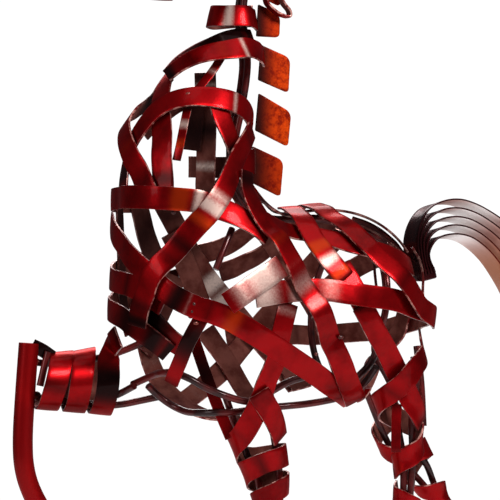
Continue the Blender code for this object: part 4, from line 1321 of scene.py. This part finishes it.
def make_mane():
    for number, (corners, smoke_and_shade, amber) in enumerate(zip(MANE_PLATES, MANE_SMOKE, MANE_AMBER), 1):
        outline = rounded(drawn_marks(corners, 0.0), MANE_CORNERS)
        settings = {"vertices": len(outline), "radius": 1.0, "fill_type": "NGON"}
        piece = new_piece(f"mane_leaf_{number}", bpy.ops.mesh.primitive_circle_add, **settings)
        move_points(piece, outline)
        edited(*mane_cuts(outline), (bpy.ops.mesh.normals_make_consistent, {"inside": False}))
        flat = points_of(piece) / MM + (MIDDLE_X, 0, 0)
        outward = (flat[:, 0] - outline[:, 0].min()) / np.ptp(outline[:, 0])
        downward = (outline[:, 2].max() - flat[:, 2]) / np.ptp(outline[:, 2])
        painted(piece, "smoke_and_shade", 1.0 - outward / smoke_and_shade)
        painted(piece, "amber", (outward * 0.7 + downward * 0.5) * amber)
        piece.data.materials.append(MANE)
        applied(piece, "SOLIDIFY", thickness=MANE_THICK * MM, offset=0.0)
        eased_edges(piece, MANE_EASE, 2, 50)
        smoothed()
        kept(piece, "mane_lacquer", f"mane_plate_{number}")


TAIL_WIDTH = 13.0
TAIL_THICK = 0.8
TAIL_ROLL = math.radians(8)
TAIL_BLADES = 5
BLADE_STEP = 8.0
# A blade's width as a share of the usual, at shares of its length
TAIL_TAPER = ((0, 0.75, 1), (1, 0.95, 0.45))
# The middle line of the first and the last blade, root to tip
TAIL_OUTER = (
    (69.6, 174), (68.6, 180), (67.8, 186), (68.2, 192.4), (71.4, 199.8), (76.4, 203.7), (83.6, 205),
    (88.4, 204.3), (94.1, 202), (102.3, 197), (112, 189), (122, 178), (131, 164), (138, 148),
)
TAIL_INNER = (
    (74.6, 175.5), (73.4, 179.3), (72.5, 182.5), (72.6, 185.5), (75.3, 188.3), (79, 190.1), (83.3, 190.6),
    (87.3, 190.2), (92.1, 188), (99, 182), (106, 171.5), (111.5, 160), (116, 147.5), (120, 133),
)
# Tail patches: dark spray and painted shade at the root, a painted reflection of the white studio in the
# arch, orange toward the tips.
TAIL_PAINT = (
    ("smoke_and_shade", 412, 262, 62, 1.0), ("painted_highlight", 464, 214, 26, 1.0), ("amber", 505, 270, 50, 1.0),
)
# The root block's lower and upper ends on the drawing, front then back
ROOT_LOW = ((70.3, 171.6), (75.3, 173.0))
ROOT_HIGH = ((69.1, 177.0), (74.1, 178.1))
ROOT_STRETCH = 0.9
ROOT_HALF = TAIL_WIDTH / 2 - 0.7
ROOT_EASE = 0.8


def make_tail():
    """Nested blades that rise from one root, arch over and fall."""
    for i in range(TAIL_BLADES):
        share = i / (TAIL_BLADES - 1)
        marks = np.array(TAIL_OUTER) * (1 - share) + np.array(TAIL_INNER) * share
        middles = evenly(drawn_marks(marks, 0.0), BLADE_STEP)
        ahead = tangents(middles)
        across = np.array([0.0, math.cos(TAIL_ROLL), -math.sin(TAIL_ROLL)])
        across = unit(across - ahead * (ahead @ across)[:, None])
        ups = np.cross(across, ahead)
        widths = TAIL_WIDTH * np.interp(np.linspace(0, 1, len(middles)), *TAIL_TAPER)
        nodes = ["tail_blades"] if i == 0 else []
        strip(f"tail_blade_{i + 1}", (middles, ups, across), nodes, widths, TAIL_THICK, slot="tail_lacquer",
              skins=(TAIL_UNDER, TAIL, TAIL), paint=TAIL_PAINT, ends=0.0)
    low, high = drawn_marks(ROOT_LOW, 0.0), drawn_marks(ROOT_HIGH, 0.0)
    stretch = unit(high[1] - high[0]) * ROOT_STRETCH
    piece = new_piece("tail_root", bpy.ops.mesh.primitive_cube_add, size=2.0)
    corners = []
    for x, y, z in np.rint(points_of(piece)).astype(int):
        end = (high if z > 0 else low)[(x + 1) // 2]
        corners.append(end + x * stretch + (0, y * ROOT_HALF, 0))
    move_points(piece, corners)
    piece.data.materials.append(TAIL)
    eased_edges(piece, ROOT_EASE, 3, 30)
    smoothed()
    kept(piece, "tail_lacquer")


EAR_WIDTH = 8.5
EAR_TAPER = ((0, 0.3, 0.7, 1), (0.7, 1, 0.7, 0.12))
EAR_SECTIONS = 6


def ear(name, side):
    base = np.array([-1.0, side * 7.0, 327.0])
    tip = np.array([-2.0, side * 10.0, 347.0])
    shares = np.linspace(0, 1, EAR_SECTIONS)
    middles = base + shares[:, None] * (tip - base)
    run = unit(tip - base)
    across = np.tile(unit(np.cross(run, [0.3, side, 0.0])), (EAR_SECTIONS, 1))
    widths = EAR_WIDTH * np.interp(shares, *EAR_TAPER)
    return strip(name + "_iron", (middles, np.cross(run, across), across), [name], widths)


LOOP_WIDTH = 4.0
LOOP_SIDE = -3.3
LOOP_STEP = 4.0
MUZZLE_RADIUS = 8.6
BAND_LEAN = -0.12


def make_head():
    loop = [
        (4, 315), (0, 323), (-12, 327.5), (-29, 320), (-46, 313), (-54, 305), (-46, 297), (-29, 298),
        (-17, 297),
    ]
    woven("head_loop", np.array([(x, 0, z) for x, z in loop], float), form=head_distance)
    turns = 2 * math.pi * np.arange(TURN_STEPS) / TURN_STEPS
    circle = np.stack([BAND_LEAN * np.cos(turns), np.sin(turns), np.cos(turns)], axis=1)
    cheek, cheek_radius = HEAD[0]
    woven("cheek_band", cheek + cheek_radius * circle, form=head_distance, closed=True)
    muzzle = HEAD[2][0] + (5, 0, 1)
    woven("muzzle_band", muzzle + MUZZLE_RADIUS * circle, form=head_distance, closed=True)
    ear("near_ear", -1)
    ear("far_ear", 1)
    marks = (
        (9.5, 312), (6.5, 300), (6.5, 290), (8.5, 286.5), (13, 283.4), (17.4, 282.9), (15.5, 286.5),
        (12.5, 291), (12.2, 300),
    )
    middles = evenly(drawn_marks(marks, LOOP_SIDE), LOOP_STEP, closed=True)
    across = np.tile([0.0, 1.0, 0.0], (len(middles), 1))
    ups = np.cross(across, tangents(middles, closed=True))
    strip("forelock_curl", (middles, ups, across), ["forelock_loop"], LOOP_WIDTH, closed=True)


UNDER_DEPTH = 1.0
SMALL = 9.2  # the width of most of the small strips
# Strips too small for a solid of their own: name, marks in pixels, width, whether on the far side, paint,
# mostly dark spray with painted shade
SMALL_STRIPS = (
    ("neck_thin_brace", ((221, 57), (210, 73), (197, 90)), 3.4, False, (("painted_highlight", 214, 72, 6, 0.5),)),
    ("neck_thin_curl", ((187, 108), (183, 126), (179, 146), (176, 160)), 3.4, False,
     (("painted_highlight", 185, 125, 7, 0.7), ("amber", 180, 145, 8, 0.7))),
    ("neck_under_arch", ((219, 104), (226, 124), (236, 150)), 8.4, False, (("smoke_and_shade", 236, 150, 14, 0.8),)),
    ("neck_inner_plate", ((194, 106), (192, 130), (190, 150)), SMALL, True, (("smoke_and_shade", 192, 130, 60, 1.0),)),
    ("breast_edge_strip", ((127, 149), (123, 168), (121, 190)), 9.0, False,
     (("smoke_and_shade", 122, 176, 16, 0.9),)),
    ("breast_inner_strip", ((117, 208), (118, 232), (119, 262), (121, 300), (128, 334)), 8.0, True,
     (("smoke_and_shade", 116, 230, 70, 1.0), ("smoke_and_shade", 118, 290, 70, 1.0))),
    ("band_inner_strip", ((138, 205), (144, 232), (152, 254), (160, 270)), SMALL, True,
     (("smoke_and_shade", 146, 235, 60, 0.9),)),
    ("belly_inner_strip", ((205, 330), (228, 365), (252, 402)), SMALL, True, ()),
    ("loin_inner_strip", ((268, 338), (285, 362), (302, 390)), SMALL, True, ()),
    ("shoulder_inner_strip", ((170, 232), (182, 256), (193, 284), (203, 312)), SMALL, True,
     (("smoke_and_shade", 176, 246, 20, 0.7),)),
    ("chest_inner_strip", ((176, 276), (166, 300), (154, 326), (143, 352)), SMALL, True,
     (("smoke_and_shade", 160, 310, 40, 0.5),)),
    ("loin_thigh_link", ((340, 264), (350, 280), (358, 295), (366, 310)), SMALL, False, ()),
    ("chest_under_strip", ((136, 296), (150, 318), (166, 336), (182, 348)), SMALL, False,
     (("smoke_and_shade", 150, 318, 40, 0.9),)),
    ("croup_cap_strip", ((352, 218), (374, 226), (394, 240), (410, 258)), 11.0, False,
     (("smoke_and_shade", 380, 232, 60, 1.0),)),
    ("rump_inner_strip", ((332, 232), (352, 240), (376, 250)), SMALL, True, (("smoke_and_shade", 352, 240, 50, 0.9),)),
)
# Strips that face the eye: name, places (px, py, depth), width, paint, with dark spray and painted shade and
# a few painted highlights
FREE_STRIPS = (
    ("neck_crest_end", ((234, 161, -12), (245, 161, -8), (255, 161.5, -5)), 10.5,
     (("painted_highlight", 255, 161, 4, 0.3),)),
    ("foreleg_brace", ((193, 336, -8), (203, 366, -11), (216, 402, -14), (231, 438, -18)), 4.8,
     (("smoke_and_shade", 204, 372, 40, 0.7),)),
    ("knee_gusset", ((32, 345, 19), (42, 350, 18), (52, 357, 18)), 5.5, (("smoke_and_shade", 42, 350, 30, 0.9),)),
    ("hock_upright", ((397, 404, -30), (396, 428, -30), (396, 452, -30)), 4.0,
     (("smoke_and_shade", 396, 436, 20, 0.3),)),
)
# Rods: name, places (px, py, depth), radius
SMALL_RODS = (
    ("knee_rod", ((48, 352, 16), (44, 368, 16), (40, 386, 16)), 1.5),
    ("breast_rod_end", ((117, 395, 8), (125, 391, 4), (134, 386, -2)), 1.5),
    ("hock_rear_rod", ((417, 346, -18), (421, 385, -21), (423, 426, -23)), 1.6),
    ("rump_thin_rod", ((374, 260, -26), (375, 275, -26), (377, 292, -26)), 0.6),
    ("rump_thin_rod_2", ((381, 268, -26), (383, 280, -26), (384, 294, -26)), 0.6),
)
# Weld beads: px, py, radius
WELDS = (
    (190, 98, 1.1), (172, 205, 1.2), (194.5, 310.6, 1.3), (240, 294, 1.0), (299, 290, 0.9), (338, 336, 0.9),
    (214, 212, 0.9), (363, 242, 1.0), (196, 304, 1.0), (192, 316, 0.9), (197, 322, 1.1), (173, 199, 0.8),
    (176, 212, 1.0), (262, 280, 0.8), (313, 352, 0.7),
)
WELD_LIFT = 2.2


def make_small_strips():
    """Strips and rods with no solid of their own, some close inside the weave and some facing the eye."""
    for name, pixels, width, last, paint in SMALL_STRIPS:
        points, ups, across = laid_path(seen([mark_of(*pixel) for pixel in pixels], last), body_distance)
        strip(name, (points - ups * UNDER_DEPTH, ups, across), (), width, paint=paint)
    for name, places, width, paint in FREE_STRIPS:
        points = evenly(drawn_pixels(places), STATION)
        ahead = tangents(points)
        across = unit(np.cross(ahead, TOWARD_EYE))
        strip(name, (points, np.cross(across, ahead), across), (), width, paint=paint)
    for name, places, radius in SMALL_RODS:
        bar(name, drawn_pixels(places), radius)
    slanted = near((-5.2, 195.5), (-9.8, 186.5), (-14.1, 177.4))
    bar("neck_slanted_rod", inside_form(slanted, HOOP_DEPTH), ROD_RADIUS * 0.9)


def make_welds():
    for number, (px, py, size) in enumerate(WELDS):
        centre = near(mark_of(px, py))[0]
        weld(f"weld_{number + 1}", centre + form_normals(centre[None])[0] * WELD_LIFT, size, 100 + number)


# Floor, lights and camera

FLOOR_RADIUS = 0.58
FLOOR_WHITE = 0.86
BACKDROP_LIGHT = 1.05
ROOM_LIGHT = 0.10
ROOM_TINT = (0.9, 0.93, 1.0, 1)
# Soft boxes: name, azimuth, elevation, distance, width, height, watts
SOFT_BOXES = (
    ("key_box", 15, 35, 1.1, 0.35, 0.35, 10.0),
    ("fill_box", -75, 20, 1.2, 0.4, 0.7, 3.0),
    ("top_box", 60, 80, 1.0, 0.7, 0.7, 1.6),
    ("back_box", 165, 35, 1.2, 0.6, 0.5, 6.0),
)
AIM = (0.0, 0.0, 0.17)


def make_stage():
    """A pale floor, and a room that the camera sees as white but that lights the horse dimly."""
    add = bpy.ops.mesh.primitive_circle_add
    floor = new_piece("floor", add, vertices=96, radius=FLOOR_RADIUS, fill_type="NGON")
    material = bpy.data.materials.new("pale_floor")
    material.use_nodes = True
    shader = material.node_tree.nodes["Principled BSDF"]
    shader.inputs["Base Color"].default_value = (FLOOR_WHITE, FLOOR_WHITE, FLOOR_WHITE, 1)
    shader.inputs["Roughness"].default_value = 0.7
    floor.data.materials.append(material)

    world = bpy.data.worlds.new("studio")
    bpy.context.scene.world = world
    world.use_nodes = True
    nodes, links = world.node_tree.nodes, world.node_tree.links
    backdrop = nodes["Background"]
    backdrop.inputs["Color"].default_value = (1, 1, 1, 1)
    backdrop.inputs["Strength"].default_value = BACKDROP_LIGHT
    room = nodes.new("ShaderNodeBackground")
    room.inputs["Color"].default_value = ROOM_TINT
    room.inputs["Strength"].default_value = ROOM_LIGHT
    sight = nodes.new("ShaderNodeLightPath")
    mix = nodes.new("ShaderNodeMixShader")
    links.new(sight.outputs["Is Camera Ray"], mix.inputs[0])
    links.new(room.outputs[0], mix.inputs[1])
    links.new(backdrop.outputs[0], mix.inputs[2])
    links.new(mix.outputs[0], nodes["World Output"].inputs[0])


def set_up(name, data, place, turn):
    """A light or camera at its place in metres."""
    holder = bpy.data.objects.new(name, data)
    bpy.context.collection.objects.link(holder)
    holder.location = place
    holder.rotation_euler = turn
    return holder


def make_lights():
    for name, azimuth, elevation, distance, width, height, watts in SOFT_BOXES:
        turn, rise = math.radians(azimuth), math.radians(elevation)
        away = Vector((math.sin(turn) * math.cos(rise), -math.cos(turn) * math.cos(rise), math.sin(rise)))
        light = bpy.data.lights.new(name, "AREA")
        light.shape = "RECTANGLE"
        light.size = width
        light.size_y = height
        light.energy = watts
        set_up(name, light, Vector(AIM) + away * distance, (-away).to_track_quat("-Z", "Y").to_euler())


SENSOR_WIDTH = 36.0


def make_camera():
    camera = bpy.data.cameras.new("camera")
    camera.sensor_width = SENSOR_WIDTH
    camera.lens = SENSOR_WIDTH * EYE_DISTANCE / (PHOTO_PIXELS * PIXEL)
    camera.clip_start = 0.01
    turn = (math.radians(90), 0, -VIEW_TURN)
    bpy.context.scene.camera = set_up("camera", camera, Vector(placed(EYE)), turn)


make_camera()
make_rods()
make_first_strips()
make_near_strips()
make_legs()
make_mane()
make_tail()
make_head()
make_small_strips()
make_welds()
make_stage()
make_lights()
bpy.context.scene.view_settings.view_transform = "Standard"
